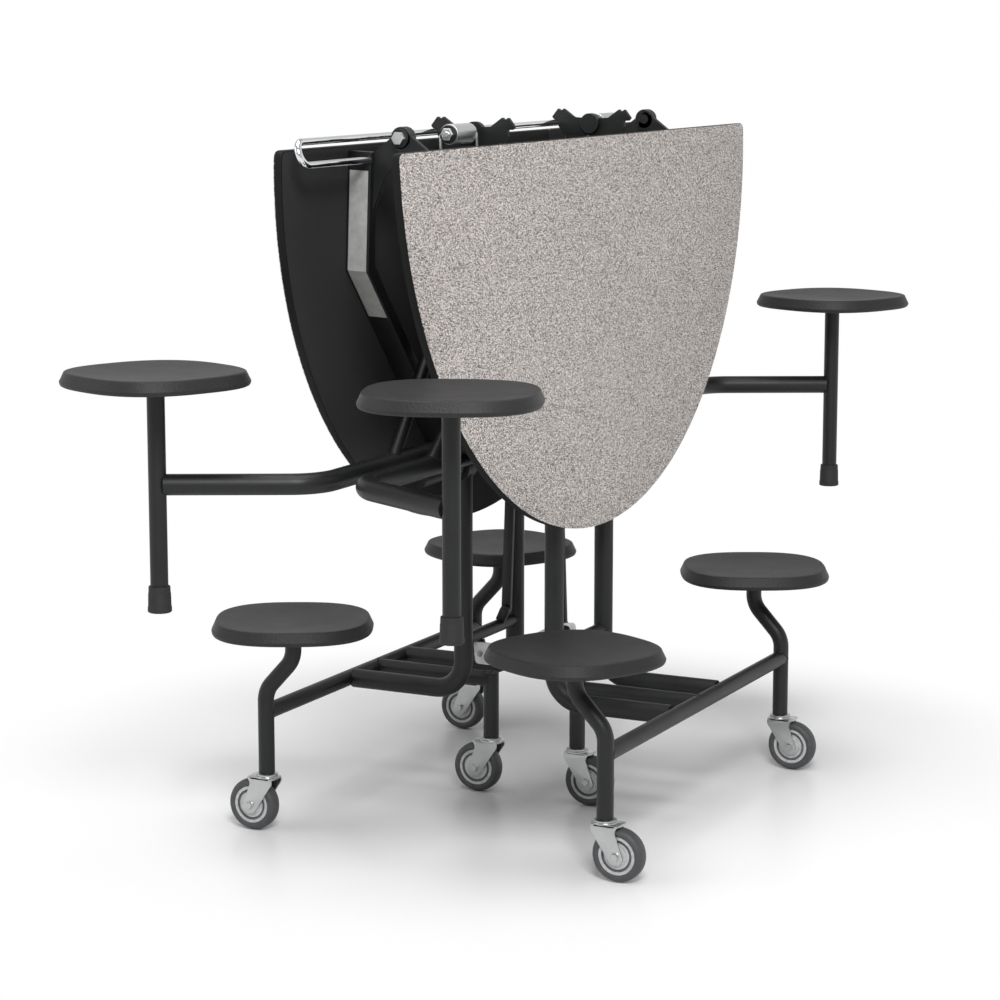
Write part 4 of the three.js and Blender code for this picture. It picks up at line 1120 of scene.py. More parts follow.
class TABLE_OT_base(bpy.types.Operator):
    """Build the base frames: rails, stool stems, legs and cross tubes"""
    bl_idname = "stool_table.base"
    bl_label = "Base frames"

    def execute(self, context):
        look = finishes(context)
        sizes = in_mm(context.scene.stool_table.frame)
        for side in SIDES:
            place = turned_half(side)
            self.base_rail(side, place, sizes, look)
            self.cross_tube(side, place, sizes, look)
            for end in ENDS:
                self.stem(side, end, place, sizes, look)
                self.leg(side, end, place, sizes, look)
        return {"FINISHED"}

    def base_rail(self, side, place, sizes, look):
        """The rail between two stems, with a middle rung and its caster post."""
        bm = bmesh.new()
        rail = [Vector((LOWER_POST_X, end * LOWER_POST_Y, BASE_RAIL_Z)) for end in ENDS]
        rung = [Vector((x, 0, BASE_RAIL_Z)) for x in (INNER_POST_X, LOWER_POST_X)]
        post = [Vector((INNER_POST_X, 0, z)) for z in (CASTER_HEIGHT, BASE_RAIL_Z + INNER_POST_RISE)]
        tubes(bm, [rail, rung, post], sizes.post, place)
        radius = sizes.post / 2
        meets = [(rail[0], Y_AXIS, Z_AXIS), (rail[1], -Y_AXIS, Z_AXIS), (rung[1], -X_AXIS, Y_AXIS),
                 (rung[0], X_AXIS, Z_AXIS)]
        joints = [saddle(spot, branch, radius, main, radius) for spot, branch, main in meets]
        welds(bm, joints, sizes, place)
        piece(f"base_rail_dressed_{side}", bm, (look.frame,), f"base_{side}",
              [f"base_rail_{side}"])

    def stem(self, side, end, place, sizes, look):
        """A bent stem from its caster up to a stool seat, with the plate that the seat is screwed to."""
        bm = bmesh.new()
        y = end * LOWER_POST_Y
        line = [Vector((LOWER_POST_X, y, CASTER_HEIGHT)), Vector((LOWER_POST_X, y, STEM_BEND_LOW_Z)),
                Vector((LOWER_SEAT_X, y, STEM_BEND_HIGH_Z)), Vector((LOWER_SEAT_X, y, LOWER_SEAT_Z - GAP))]
        tubes(bm, [line], sizes.post, place, STEM_BEND_RADIUS)
        seat_plate(bm, place @ Matrix.Translation(line[-1]), sizes)
        name = f"stool_stem_{side}_{end_name(side, y)}"
        piece(f"{name}_dressed", bm, (look.frame, look.zinc), f"base_{side}", [name])

    def leg(self, side, end, place, sizes, look):
        """A leg from the eye on the head tube down and out to the base rail."""
        bm = bmesh.new()
        y = end * LEG_Y
        top = Vector((LEG_PIVOT_X, y, LEG_PIVOT_Z))
        foot = Vector((LOWER_POST_X, y, BASE_RAIL_Z))
        line = [top, Vector((LEG_PIVOT_X, y, BASE_RAIL_Z)), foot - X_AXIS * sizes.post * BUTT]
        tubes(bm, [line], sizes.arm, place, LEG_BEND_RADIUS)
        bore = sizes.head_tube / 2 + GAP
        half = LEG_EYE_WIDTH / 2
        eye = [(bore, -half), *chamfered(LEG_EYE_RADIUS, -half, half, 1), (bore, half)]
        turned(bm, eye, place @ facing_y(y, LEG_PIVOT_X, LEG_PIVOT_Z), ring=True)
        welds(bm, [saddle(top, -Z_AXIS, sizes.arm / 2, Y_AXIS, LEG_EYE_RADIUS)], sizes, place)
        name = f"leg_{side}_{end_name(side, y)}"
        piece(f"{name}_dressed", bm, (look.frame,), f"base_{side}", [name])

    def cross_tube(self, side, place, sizes, look):
        """The tube between two legs, with the lugs for the link and the latch."""
        bm = bmesh.new()
        ends = [Vector((LEG_PIVOT_X, end * LEG_Y, CROSS_TUBE_Z)) for end in ENDS]
        tubes(bm, [ends], sizes.cross, place)
        radius = sizes.cross / 2
        joints = [saddle(ends[0], Y_AXIS, radius, Z_AXIS, sizes.arm / 2),
                  saddle(ends[1], -Y_AXIS, radius, Z_AXIS, sizes.arm / 2)]
        welds(bm, joints, sizes, place)
        tube = (LEG_PIVOT_X, CROSS_TUBE_Z)
        pin_lug(bm, place, tube, radius, (LINK_FOOT_X, LINK_FOOT_Z), LINK_LUG_FROM, LINK_PIN_END)
        if side == "left":
            lug_from = LATCH_Y - LATCH_THICKNESS / 2 - GAP - LUG_THICKNESS
            pin_lug(bm, place, tube, radius, (LATCH_PIVOT_X, LATCH_PIVOT_Z), lug_from,
                    LATCH_Y + LATCH_THICKNESS / 2 + PIN_PROUD)
        piece(f"cross_tube_dressed_{side}", bm, (look.frame, look.zinc), f"base_{side}",
              [f"cross_tube_{side}"])


def seat_plate(bm, place, sizes, steel=1):
    """Adds the round plate under a seat, welded to its post, with four screws."""
    thickness = SEAT_PLATE_THICKNESS
    disc = [(0, 0), *chamfered(SEAT_PLATE_RADIUS, -thickness, 0, 0.8)[::-1], (0, -thickness)]
    turned(bm, disc, place, SEAT_PLATE_SIDES)
    welds(bm, [circle(sizes.post / 2, SEAT_PLATE_SIDES, -thickness)], sizes, place)
    heads = circle(SEAT_SCREW_CIRCLE, SEAT_SCREWS, thickness, pi / SEAT_SCREWS)
    screws(bm, heads, SEAT_SCREW_RADIUS, place @ Matrix.Rotation(pi, 4, "X"), steel)


class TABLE_OT_uppers(bpy.types.Operator):
    """Build the upper stool frames: arms, hangers, posts and rubber feet"""
    bl_idname = "stool_table.uppers"
    bl_label = "Upper stool frames"

    def execute(self, context):
        look = finishes(context)
        sizes = in_mm(context.scene.stool_table.frame)
        caster = in_mm(context.scene.stool_table.caster)
        for side in SIDES:
            place = turned_half(side)
            self.arm(side, place, sizes, look)
            self.hanger(side, place, sizes, look)
            for end in ENDS:
                self.post(side, end, place, sizes, look)
                self.foot(side, end, place, sizes, caster, look)
        return {"FINISHED"}

    def arm(self, side, place, sizes, look):
        """The long bent arm between two upper posts, with the lug for the link."""
        bm = bmesh.new()
        line = []
        for end in ENDS:
            post = Vector((UPPER_POST_X, end * UPPER_POST_Y, ARM_Z))
            corner = Vector((ARM_X, end * ARM_CORNER_Y, ARM_Z))
            start = post + (corner - post).normalized() * sizes.post * BUTT
            line += [start, corner] if end < 0 else [corner, start]
        tubes(bm, [line], sizes.arm, place, ARM_BEND_RADIUS)
        pin_lug(bm, place, (ARM_X, ARM_Z), sizes.arm / 2, (LINK_HEAD_X, LINK_HEAD_Z), LINK_LUG_FROM,
                LINK_PIN_END)
        piece(f"stool_arm_dressed_{side}", bm, (look.frame, look.zinc), f"upper_{side}",
              [f"stool_arm_{side}"])

    def hanger(self, side, place, sizes, look):
        """Two braces from the arm up to the tube that turns in the pivot lugs."""
        bm = bmesh.new()
        tube = [Vector((HANGER_X, end * HANGER_TUBE_HALF, HANGER_Z)) for end in ENDS]
        tubes(bm, [tube], HANGER_TUBE_OD, place)
        feet = [Vector((ARM_X, end * HANGER_FOOT_Y, ARM_Z)) for end in ENDS]
        heads = [Vector((HANGER_X, end * HANGER_HEAD_Y, HANGER_Z)) for end in ENDS]
        tubes(bm, list(zip(feet, heads)), sizes.brace, place)
        joints = []
        for foot, head in zip(feet, heads):
            joints.append(saddle(foot, head - foot, sizes.brace / 2, Y_AXIS, sizes.arm / 2))
            joints.append(saddle(head, foot - head, sizes.brace / 2, Y_AXIS, HANGER_TUBE_OD / 2))
        welds(bm, joints, sizes, place)
        piece(f"hanger_dressed_{side}", bm, (look.frame,), f"upper_{side}", [f"hanger_{side}"])

    def post(self, side, end, place, sizes, look):
        """A straight post with the plate that its seat is screwed to."""
        bm = bmesh.new()
        y = end * UPPER_POST_Y
        top = Vector((UPPER_POST_X, y, UPPER_SEAT_Z - GAP))
        tubes(bm, [[Vector((UPPER_POST_X, y, FOOT_Z + POST_START)), top]], sizes.post, place)
        seat_plate(bm, place @ Matrix.Translation(top), sizes)
        name = f"upper_post_{side}_{end_name(side, y)}"
        piece(f"{name}_dressed", bm, (look.frame, look.zinc), f"upper_{side}", [name])

    def foot(self, side, end, place, sizes, caster, look):
        """A tapered rubber foot with a lip at its mouth and a ribbed tread."""
        bm = bmesh.new()
        y = end * UPPER_POST_Y
        base, top, height = caster.foot_base, caster.foot_top, caster.foot_height
        mouth = sizes.post / 2 + GAP
        profile = [(0, 1), (base - 9, 1), (base - 8, 0), (base - 2, 0), (base, 1.6), (base, height * 0.18),
                   (base - 0.8, height * 0.24), (top + 1.2, height * 0.72), (top + 0.6, height * 0.76),
                   (top + 0.6, height * 0.8), (top + 0.4, height - 1.2), (top - 0.6, height), (mouth, height),
                   (mouth, FOOT_FLOOR), (0, FOOT_FLOOR)]
        turned(bm, profile, place @ Matrix.Translation((UPPER_POST_X, y, FOOT_Z)))
        name = f"foot_{side}_{end_name(side, y)}"
        piece(f"rubber_{name}", bm, (look.rubber,), f"upper_{side}", [name])


# The seats

def seat_profile(seat):
    """Radius at the flats and height of the moulding, from the middle of its underside round to its top."""
    rim, top, wall = seat.half, seat.thickness, seat.wall
    hub, lip = SEAT_HUB, rim - SEAT_DRAFT
    ceiling = top - seat.dish - wall
    return [
        (0, 0), (hub, 0), (hub + 2, 0.8), (hub + 4, ceiling - 1.5), (hub + 6, ceiling),
        (rim - 16, ceiling + 2), (rim - 11, ceiling + 1), (rim - 9, ceiling - 4), (rim - 9.5, 1),
        (rim - 8.5, 0), (rim - 4.5, 0.2), (rim - 2.2, 1.6), (rim - 0.7, 4.2), (rim, 8),
        (lip + 1.6, top - 4), (lip + 0.9, top - 2.2),
        (lip - 0.3, top - 0.8), (lip - 2.2, top - 0.1), (lip - 4.5, top), (lip - 10, top - 0.3),
        (lip - 22, top - 1.2), (lip * 0.65, top - seat.dish * 0.62), (lip * 0.4, top - seat.dish * 0.88),
        (lip * 0.15, top - seat.dish), (0, top - seat.dish),
    ]


class TABLE_OT_seats(bpy.types.Operator):
    """Build the eight moulded seats"""
    bl_idname = "stool_table.seats"
    bl_label = "Seats"

    def execute(self, context):
        look = finishes(context)
        group = context.scene.stool_table.seat
        seat = in_mm(group)
        for side in SIDES:
            for end in ENDS:
                lower = Vector((LOWER_SEAT_X, end * LOWER_POST_Y, LOWER_SEAT_Z))
                upper = Vector((UPPER_POST_X, end * UPPER_POST_Y, UPPER_SEAT_Z))
                for level, spot, turn, body in (("lower", lower, LOWER_SEAT_TURN, "base"),
                                                ("upper", upper, UPPER_SEAT_TURN, "upper")):
                    place = turned_half(side) @ Matrix.Translation(spot) @ Matrix.Rotation(end * turn, 4, "Z")
                    node = f"{level}_seat_{side}_{end_name(side, end)}"
                    self.seat(node, place, seat, group, look, f"{body}_{side}")
        return {"FINISHED"}

    def seat(self, node, place, seat, group, look, body):
        """One seat: a hollow moulding with a drafted rim, a dished top and ribs underneath."""
        bm = bmesh.new()
        turned(bm, seat_profile(seat), Matrix.Identity(4), SEAT_SEGMENTS)
        power = group.squareness
        for vert in bm.verts:
            reach = Vector(vert.co.xy).length
            if reach < TINY:
                continue
            angle = atan2(vert.co.y, vert.co.x)
            square = (abs(cos(angle)) ** power + abs(sin(angle)) ** power) ** (-1 / power)
            stretch = 1 + (square - 1) * min(reach / (seat.half - SQUARED_RIM), 1) ** 2
            vert.co.xy = vert.co.xy * stretch
        bmesh.ops.transform(bm, matrix=place, verts=bm.verts)
        ceiling = seat.thickness - seat.dish - seat.wall
        inner, outer = RIB_INNER, seat.half - RIB_MARGIN
        spokes = circle((inner + outer) / 2, group.ribs, ceiling / 2 + RIB_RISE)
        ribs = grow("Seat ribs", spokes, [], Length=outer - inner, Height=ceiling - 1.0,
                    Thickness=RIB_THICKNESS)
        absorb(bm, ribs, place)
        piece(f"moulded_{node}", bm, (look.seat,), body, [node])


# The casters

class TABLE_OT_casters(bpy.types.Operator):
    """Build the six swivel casters"""
    bl_idname = "stool_table.casters"
    bl_label = "Casters"

    def execute(self, context):
        look = finishes(context)
        caster = in_mm(context.scene.stool_table.caster)
        for side in SIDES:
            for x, y in CASTER_SPOTS:
                place = turned_half(side) @ Matrix.Translation((x, y, 0))
                name = f"{side}_{'middle' if y == 0 else end_name(side, y)}"
                self.fork(name, place, caster, look)
                self.wheel(name, place, caster, look)
        return {"FINISHED"}

    def fork(self, name, place, caster, look):
        """Two stacked race rings, a crown plate and two cheeks down to the axle bolt."""
        bm = bmesh.new()
        top = CASTER_HEIGHT - GAP
        crown_top = top - RACE_HEIGHT
        crown_low = crown_top - CROWN_PLATE
        # How far each point lies inside the race and below its top
        rings = [(RACE_RADIUS, 0), (7, 0), (2.5, 0.5), (1, 1.6), (1, 3.6), (2.4, 4.2), (2.4, 4.8), (0.6, 5.2),
                 (0, 6.2), (0, RACE_HEIGHT + 1), (2, RACE_HEIGHT + 2), (RACE_RADIUS, RACE_HEIGHT + 2)]
        turned(bm, [(RACE_RADIUS - inset, top - drop) for inset, drop in rings], place)
        inner = caster.wheel_width / 2 + FORK_SIDE_GAP
        outer = inner + FORK_PLATE
        crown = [(-RACE_RADIUS, -outer), (FORK_FRONT, -outer), (FORK_FRONT, outer), (-RACE_RADIUS, outer)]
        plate(bm, rounded(crown, 9), CROWN_PLATE, place @ Matrix.Translation((0, 0, crown_low)), soften=1.2)
        axle_z = caster.wheel_radius
        nose, trail = FORK_NOSE, CASTER_TRAIL
        cheek = [(-FORK_BACK, crown_top - 1), (-FORK_BACK, crown_low - FORK_SHOULDER),
                 (trail - nose, axle_z - nose / 3), (trail - nose / 2, axle_z - nose),
                 (trail + nose / 2, axle_z - nose), (trail + nose, axle_z - nose / 3),
                 (FORK_FRONT - FORK_WAIST, crown_low - FORK_SHOULDER),
                 (FORK_FRONT - FORK_WAIST / 2, crown_low - 1), (FORK_FRONT, crown_top - 1)]
        for face in (-inner, outer):
            plate(bm, rounded(cheek, 6), FORK_PLATE, place @ facing_y(face), soften=0.7)
        axle = place @ Matrix.Translation((CASTER_TRAIL, 0, axle_z))
        wide, chamfer = AXLE_WASHER_RADIUS, 0.4
        washer = [(0, -0.2), (wide, -0.2), (wide, AXLE_WASHER - chamfer), (wide - chamfer, AXLE_WASHER),
                  (0, AXLE_WASHER)]
        for way in (1, -1):
            head = axle @ Matrix.Rotation(-way * pi / 2, 4, "X") @ Matrix.Translation((0, 0, outer))
            turned(bm, washer, head, WASHER_SIDES)
            hex_head(bm, head @ Matrix.Translation((0, 0, AXLE_WASHER)), AXLE_NUT_RADIUS, AXLE_NUT_HEIGHT)
        shank = [(0, -outer), (AXLE_RADIUS, -outer), (AXLE_RADIUS, outer), (0, outer)]
        turned(bm, shank, axle @ Matrix.Rotation(-pi / 2, 4, "X"), SMALL_SIDES)
        piece(f"swivel_fork_{name}", bm, (look.zinc,), f"fork_{name}", [f"caster_fork_{name}"])

    def wheel(self, name, place, caster, look):
        """A grey tyre on a pale core, with a ring groove and a raised hub on each face. The groove takes a
        darker grey as painted shade.
        """
        bm = bmesh.new()
        radius, half = caster.wheel_radius, caster.wheel_width / 2
        bore = AXLE_RADIUS + GAP
        # The groove's finish is painted shade, a darker grey than the core
        core, tread, groove = 0, 1, 2
        # Share of the radius, depth below the hub's face and finish, from the hub out to the tread
        rings = [(0.37, 0, core), (0.39, 1, core), (0.395, 3.2, core), (0.5, 3.6, core), (0.51, 6.5, groove),
                 (0.59, 6.5, groove), (0.6, 2.6, core), (0.615, 2, core), (0.71, 2, core), (0.72, 2.8, core),
                 (0.73, 1.6, tread), (0.78, 0.4, tread), (0.85, 0.3, tread), (0.91, 1.6, tread),
                 (0.96, 4, tread), (0.99, 7.5, tread), (1, half * 0.75, tread)]
        face = [(bore, half - 0.4, core), (bore + 0.8, half, core)]
        face += [(radius * share, half - depth, finish) for share, depth, finish in rings]
        mirrored = [(r, -y, finish) for r, y, finish in reversed(face)]
        profile = face + mirrored
        steps = [tread if tread in (a[2], b[2]) else max(a[2], b[2]) for a, b in zip(profile, profile[1:])]
        turned(bm, [(r, y) for r, y, _ in profile], place @ facing_y(0, CASTER_TRAIL, radius), WHEEL_SIDES,
               steps + [core], ring=True)
        piece(f"wheel_{name}", bm, (look.core, look.tread, look.painted_groove_shade), f"wheel_{name}",
              [f"caster_wheel_{name}"])


# The hinge and the lift handle

def crown_outline(rod):
    """A crown plate: a saddle over the shaft between two ears, each notched for a handle rod."""
    clear = rod / 2
    notch = HANDLE_X - clear
    ear = [(CROWN_HALF - CROWN_SADDLE, CROWN_SHOULDER), (CROWN_HALF - CROWN_EAR, CROWN_PEAK),
           (CROWN_HALF - CROWN_EAR * 0.78, CROWN_PEAK - CROWN_DIP),
           (CROWN_HALF - CROWN_EAR * 0.52, CROWN_PEAK), (CROWN_HALF, CROWN_SHOULDER),
           (CROWN_HALF - CROWN_DIP, clear), (notch, clear), (notch, -clear),
           (notch - CROWN_SHOULDER, -CROWN_DEPTH)]
    mirrored = [(-x, z) for x, z in reversed(ear)]
    return ([(0, SHAFT_RADIUS)] + ear + mirrored)[::-1]


class TABLE_OT_hinge(bpy.types.Operator):
    """Build the hinge's crowns and sleeves and the chromed lift handle"""
    bl_idname = "stool_table.hinge"
    bl_label = "Hinge and handle"

    def execute(self, context):
        look = finishes(context)
        rod = in_mm(context.scene.stool_table.handle).rod
        seat_face = board_back(in_mm(context.scene.stool_table.top)) - GAP
        axis = Matrix.Translation((0, 0, HINGE_Z))
        self.crowns(axis, rod, look)
        for side in SIDES:
            self.sleeve(side, seat_face, look)
        self.handle(axis, rod, look)
        return {"FINISHED"}

    def handle(self, axis, rod, look):
        """A rod along the hinge that loops back below itself at the near end."""
        bm = bmesh.new()
        line = [Vector((-HANDLE_X, HANDLE_FAR_Y, 0)), Vector((-HANDLE_X, -HANDLE_LOOP_Y, 0)),
                Vector((-HANDLE_FOOT_X, -HANDLE_LOOP_Y, -HANDLE_SPACING)),
                Vector((-HANDLE_FOOT_X, -HANDLE_END_Y, -HANDLE_SPACING))]
        tubes(bm, [line], rod, axis, HANDLE_BEND_RADIUS)
        piece("chromed_handle", bm, (look.chrome,), "top_left", ["lift_handle"])

    def crowns(self, axis, rod, look):
        """Two crown plates on the handle's bar, each with a boss, a short shaft, a washer and a nut."""
        bm = bmesh.new()
        boss, washer = CROWN_Y - CROWN_BOSS, SLEEVE_NEAR + GAP
        end_face = washer + WASHER_THICKNESS
        shaft = [(0, boss), (BOSS_RADIUS - 1, boss), (BOSS_RADIUS, boss + 1), (BOSS_RADIUS, CROWN_Y),
                 (SHAFT_RADIUS, CROWN_Y), (SHAFT_RADIUS, washer),
                 *chamfered(WASHER_RADIUS, washer, end_face, WASHER_CHAMFER), (0, end_face)]
        thread = [(0, 0), (THREAD_RADIUS, 0), (THREAD_RADIUS, BOLT_HEIGHT - 1),
                  (THREAD_RADIUS - 1, BOLT_HEIGHT), (0, BOLT_HEIGHT)]
        for end in ENDS:
            along = axis @ Matrix.Rotation(-end * pi / 2, 4, "X")
            turned(bm, shaft, along)
            nut = along @ Matrix.Translation((0, 0, end_face))
            # The nut and its thread take the bolts' lighter zinc, a painted highlight
            hex_head(bm, nut, BOLT_RADIUS, BOLT_HEIGHT * 0.65, 1)
            turned(bm, thread, nut, SMALL_SIDES, 1)
            face = axis @ facing_y(end * CROWN_Y + CROWN_THICKNESS / 2)
            plate(bm, rounded(crown_outline(rod), 1.2), CROWN_THICKNESS, face, soften=0.9)
        piece("hinge_crowns", bm, (look.frame, look.bolt), "top_left", ["hinge_shaft"])

    def sleeve(self, side, back, look):
        """A turned sleeve on two thin legs, which stand on a bent sheet that is fixed to the panel's back."""
        bm = bmesh.new()
        place = hung(side)
        along = place @ Matrix.Rotation(-pi / 2, 4, "X")
        bore = SHAFT_RADIUS + GAP
        ring = [(bore, -SLEEVE_NEAR), *chamfered(SLEEVE_RADIUS, -SLEEVE_NEAR, -SLEEVE_FAR, 0.8),
                (bore, -SLEEVE_FAR)]
        turned(bm, ring, along, ring=True)
        bottom, sheet = -STIRRUP_DROP, STIRRUP_PLATE
        rim = SLEEVE_RADIUS + sheet / 2
        leg = [(-rim, bottom), (STIRRUP_LEG - rim, bottom), (STIRRUP_LEG - rim, 0), (-rim, 0)]
        other_leg = [(-x, z) for x, z in reversed(leg)]
        plate(bm, leg, STIRRUP_LEG, place @ facing_y(STIRRUP_LEG - SLEEVE_NEAR), soften=0.6)
        plate(bm, other_leg, STIRRUP_LEG, place @ facing_y(-SLEEVE_FAR), soften=0.6)
        bent = [(-rim, bottom), (back, bottom), (back, -EDGE_SETBACK), (back - sheet, -EDGE_SETBACK),
                (back - sheet, bottom + sheet), (-rim, bottom + sheet)]
        plate(bm, bent, SLEEVE_NEAR - SLEEVE_FAR, place @ facing_y(-SLEEVE_FAR), soften=0.5, finish=1)
        piece(f"hinge_sleeve_dressed_{side}", bm, (look.steel, look.frame), f"top_{side}",
              [f"hinge_sleeve_{side}"])


# The links and the latch

class TABLE_OT_links(bpy.types.Operator):
    """Build the two links and the latch between the base frames"""
    bl_idname = "stool_table.links"
    bl_label = "Links and latch"

    def execute(self, context):
        look = finishes(context)
        cross = in_mm(context.scene.stool_table.frame).cross
        for side in SIDES:
            self.link(side, look)
        self.latch(cross, look)
        return {"FINISHED"}

    def link(self, side, look):
        """A flat bar with round ends from the cross tube's pin up to the arm's."""
        bm = bmesh.new()
        half = LINK_WIDTH / 2
        bar = (half_round((LINK_FOOT_X, LINK_FOOT_Z), half, pi, steps=LINK_END_STEPS)
               + half_round((LINK_HEAD_X, LINK_HEAD_Z), half, 0, steps=LINK_END_STEPS))
        face = turned_half(side) @ facing_y(-LINK_Y + LINK_THICKNESS / 2)
        plate(bm, bar, LINK_THICKNESS, face, soften=1)
        piece(f"link_bar_{side}", bm, (look.frame,), f"link_{side}", [f"link_{side}"])

    def latch(self, cross, look):
        """A grey plate on the left base, with a notch that drops over the right base's cross tube."""
        reach = LEG_PIVOT_X + LATCH_PIVOT_X
        rise = CROSS_TUBE_Z - LATCH_PIVOT_Z
        notch = cross / 2 + LATCH_NOTCH_PLAY
        half = LATCH_WIDTH / 2
        near, far, top = reach - notch, reach + notch, rise + notch
        outline = [(-LATCH_TAIL, -half * 0.8), (half, -half), (near - half, rise - half * 0.4),
                   (near, rise - half * 0.4), (near, top), (far, top), (far, rise - half * 0.2),
                   (far + LATCH_HOOK, rise - half * 0.2), (far + LATCH_HOOK, top + LATCH_BRIDGE),
                   (near, top + LATCH_BRIDGE), (reach * LATCH_NECK, top - LATCH_NECK_DROP),
                   (half, half * 0.8), (-LATCH_TAIL, half)]
        place = (Matrix.Translation((-LATCH_PIVOT_X, 0, LATCH_PIVOT_Z)) @ Matrix.Rotation(-LATCH_LIFT, 4, "Y")
                 @ facing_y(-LATCH_Y + LATCH_THICKNESS / 2))
        bm = bmesh.new()
        plate(bm, rounded(outline, 7), LATCH_THICKNESS, place, soften=0.9)
        piece("latch_plate", bm, (look.latch,), "latch", ["latch"])


# The stage

def studio_floor():
    """Matt white paper sweep with a painted shadow: its colour greys towards the table's middle. It keeps the
    soft shadows and fades to white away from the table.
    """
    material = bpy.data.materials.new("white_paper_sweep_painted_shadow")
    material.use_nodes = True
    tree = material.node_tree
    tree.nodes.clear()
    place = add_node(tree, "ShaderNodeTexCoord").outputs["Object"]
    # Painted shadow: the paper's colour is greyest behind the table's middle, where the shadow falls away
    # from the camera
    distance = add_node(tree, "ShaderNodeVectorMath", {"operation": "DISTANCE"},
                        {0: place, 1: (-0.1, 0.2, 0)}).outputs["Value"]
    # Painted shadow: the paper's colour runs from grey near the table's middle to near white further out
    grey = add_node(tree, "ShaderNodeMapRange", {"interpolation_type": "SMOOTHSTEP"}, {
        "Value": distance, "From Max": 0.85, "To Min": 0.64, "To Max": 0.98})
    paper = add_node(tree, "ShaderNodeBsdfPrincipled", inputs={
        "Base Color": grey.outputs["Result"], "Roughness": 0.35, "Specular IOR Level": 0.3})
    white = add_node(tree, "ShaderNodeEmission", inputs={"Color": (1, 1, 1, 1), "Strength": 1.0})
    path = add_node(tree, "ShaderNodeLightPath").outputs
    seen = add_node(tree, "ShaderNodeMath", {"operation": "MAXIMUM"},
                    {0: path["Is Camera Ray"], 1: path["Is Glossy Ray"]})
    fade = add_node(tree, "ShaderNodeMapRange", {"interpolation_type": "SMOOTHSTEP"}, {
        "Value": distance, "From Min": 0.7, "From Max": 1.3})
    share = add_node(tree, "ShaderNodeMath", {"operation": "MULTIPLY"},
                     {0: fade.outputs["Result"], 1: seen.outputs[0]})
    mixed = add_node(tree, "ShaderNodeMixShader", inputs={
        0: share.outputs[0], 1: paper.outputs["BSDF"], 2: white.outputs["Emission"]})
    add_node(tree, "ShaderNodeOutputMaterial", inputs={"Surface": mixed.outputs["Shader"]})
    return material


def studio_world(level):
    """A white room: plain white to the camera and to reflections, and softer as a light."""
    world = bpy.data.worlds.new("white_studio")
    world.use_nodes = True
    tree = world.node_tree
    tree.nodes.clear()
    path = add_node(tree, "ShaderNodeLightPath").outputs
    seen = add_node(tree, "ShaderNodeMath", {"operation": "MAXIMUM"},
                    {0: path["Is Camera Ray"], 1: path["Is Glossy Ray"]})
    clear = add_node(tree, "ShaderNodeMath", {"operation": "MAXIMUM"},
                     {0: seen.outputs[0], 1: path["Is Transmission Ray"]})
    # Reflections see a white sweep behind the table, a dim room before it and a grey ceiling
    way = add_node(tree, "ShaderNodeSeparateXYZ", inputs={
        "Vector": add_node(tree, "ShaderNodeTexCoord").outputs["Generated"]})
    room = add_node(tree, "ShaderNodeMapRange", inputs={
        "Value": way.outputs["Y"], "From Min": -0.6, "From Max": 0.3, "To Min": 0.5, "To Max": 1.0})
    ceiling = add_node(tree, "ShaderNodeMapRange", inputs={
        "Value": way.outputs["Z"], "From Min": 0.1, "From Max": 0.8,
        "To Min": room.outputs["Result"], "To Max": 0.4})
    shown = add_node(tree, "ShaderNodeMapRange", inputs={
        "Value": path["Is Camera Ray"], "To Min": ceiling.outputs["Result"], "To Max": 1.0})
    strength = add_node(tree, "ShaderNodeMapRange", inputs={
        "Value": clear.outputs[0], "To Min": level, "To Max": shown.outputs["Result"]})
    back = add_node(tree, "ShaderNodeBackground", inputs={
        "Color": (1, 1, 1, 1), "Strength": strength.outputs["Result"]})
    add_node(tree, "ShaderNodeOutputWorld", inputs={"Surface": back.outputs["Background"]})
    return world


WORLD_LEVEL = 0.25
# Name, place and aim in metres, width and power in watts of each soft box
SOFT_BOXES = (
    ("overhead", (0.0, -0.6, 4.4), (0, 0, 0.6), 2.8, 95),
    ("key_front", (2.6, -4.4, 4.4), (0, 0, 0.6), 1.8, 260),
    ("fill_left", (-3.4, -3.0, 2.6), (0, 0, 0.8), 2.4, 30),
)
CAMERA_SPOT = (2.453, -5.0741, 1.570)
CAMERA_DROP = radians(9.625)
CAMERA_TURN = radians(26.5)
CAMERA_LENS = 102.68
FLOOR_HALF = 30.0
FLOOR_DROP = 0.0005


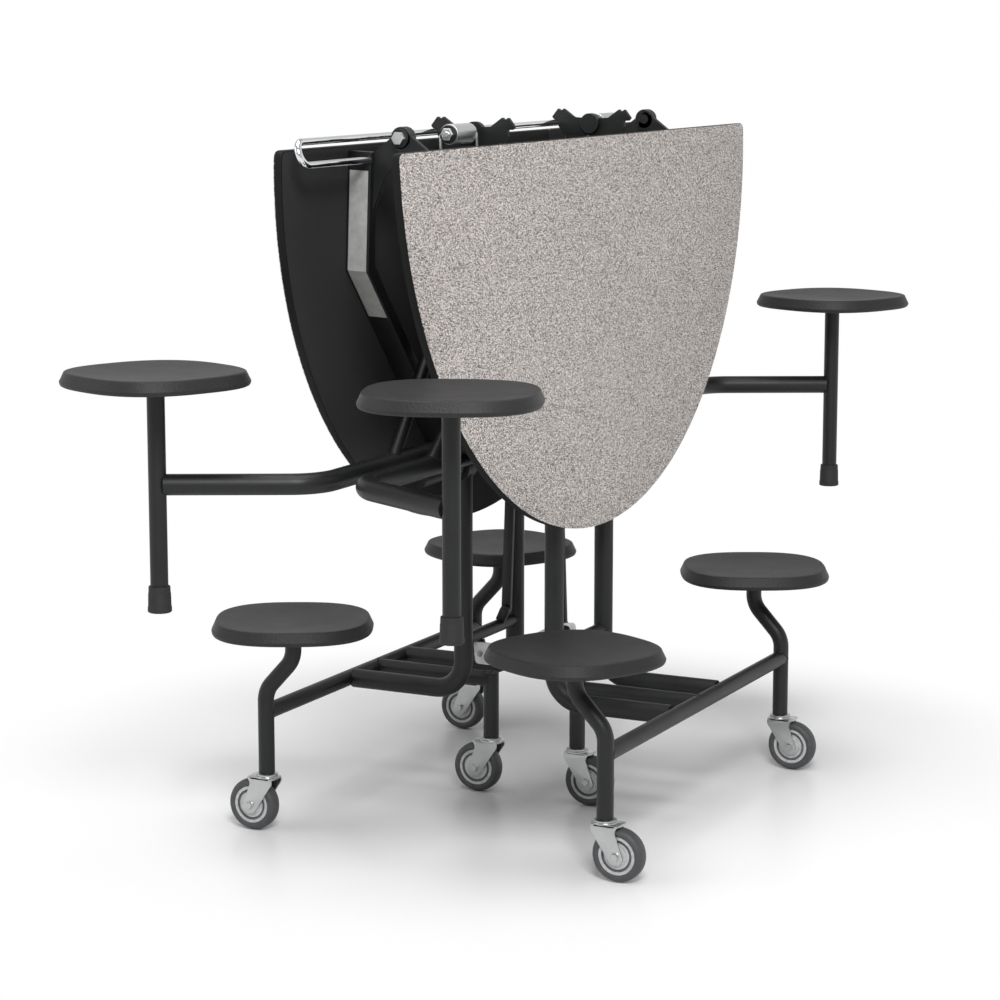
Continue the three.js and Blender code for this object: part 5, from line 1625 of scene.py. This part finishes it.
class TABLE_OT_stage(bpy.types.Operator):
    """Build the floor, the studio light and the camera"""
    bl_idname = "stool_table.stage"
    bl_label = "Stage"

    def execute(self, context):
        scene = context.scene
        mesh = bpy.data.meshes.new("floor")
        corners = [(-FLOOR_HALF, -FLOOR_HALF), (FLOOR_HALF, -FLOOR_HALF), (FLOOR_HALF, FLOOR_HALF),
                   (-FLOOR_HALF, FLOOR_HALF)]
        mesh.from_pydata([(x, y, -FLOOR_DROP) for x, y in corners], [], [(0, 1, 2, 3)])
        mesh.materials.append(studio_floor())
        floor = bpy.data.objects.new("floor", mesh)
        scene.collection.objects.link(floor)
        scene.world = studio_world(WORLD_LEVEL)
        for name, spot, aim, width, power in SOFT_BOXES:
            lamp = bpy.data.lights.new(name, "AREA")
            lamp.size = width
            lamp.energy = power
            box = bpy.data.objects.new(name, lamp)
            box.location = spot
            box.rotation_euler = (Vector(aim) - Vector(spot)).to_track_quat("-Z", "Y").to_euler()
            scene.collection.objects.link(box)
        lens = bpy.data.cameras.new("camera")
        lens.lens = CAMERA_LENS
        camera = bpy.data.objects.new("camera", lens)
        camera.location = CAMERA_SPOT
        camera.rotation_euler = (pi / 2 - CAMERA_DROP, 0, CAMERA_TURN)
        scene.collection.objects.link(camera)
        scene.camera = camera
        scene.view_settings.view_transform = "Standard"
        return {"FINISHED"}


# The add-on

OPERATORS = (TABLE_OT_stage, TABLE_OT_tops, TABLE_OT_rails, TABLE_OT_base, TABLE_OT_uppers, TABLE_OT_seats,
             TABLE_OT_casters, TABLE_OT_hinge, TABLE_OT_links)


class TABLE_PT_panel(bpy.types.Panel):
    """Lists the sizes and the pieces of the table"""
    bl_idname = "TABLE_PT_panel"
    bl_label = "Stool Table"
    bl_space_type = "VIEW_3D"
    bl_region_type = "UI"
    bl_category = "Stool Table"

    def draw(self, context):
        settings = context.scene.stool_table
        for group in (settings.frame, settings.top, settings.seat, settings.caster, settings.handle,
                      settings.colours):
            box = self.layout.box()
            for name in group.__annotations__:
                box.prop(group, name)
        for operator in OPERATORS:
            self.layout.operator(operator.bl_idname)


CLASSES = (FrameSizes, TopSizes, SeatSizes, CasterSizes, HandleSizes, Colours, TableSettings, *OPERATORS,
           TABLE_PT_panel)


def register():
    for each in CLASSES:
        bpy.utils.register_class(each)
    bpy.types.Scene.stool_table = PointerProperty(type=TableSettings)


def unregister():
    del bpy.types.Scene.stool_table
    for each in reversed(CLASSES):
        bpy.utils.unregister_class(each)


def main():
    register()
    for operator in OPERATORS:
        group, name = operator.bl_idname.split(".")
        getattr(getattr(bpy.ops, group), name)()
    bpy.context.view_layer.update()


if __name__ == "__main__":
    main()
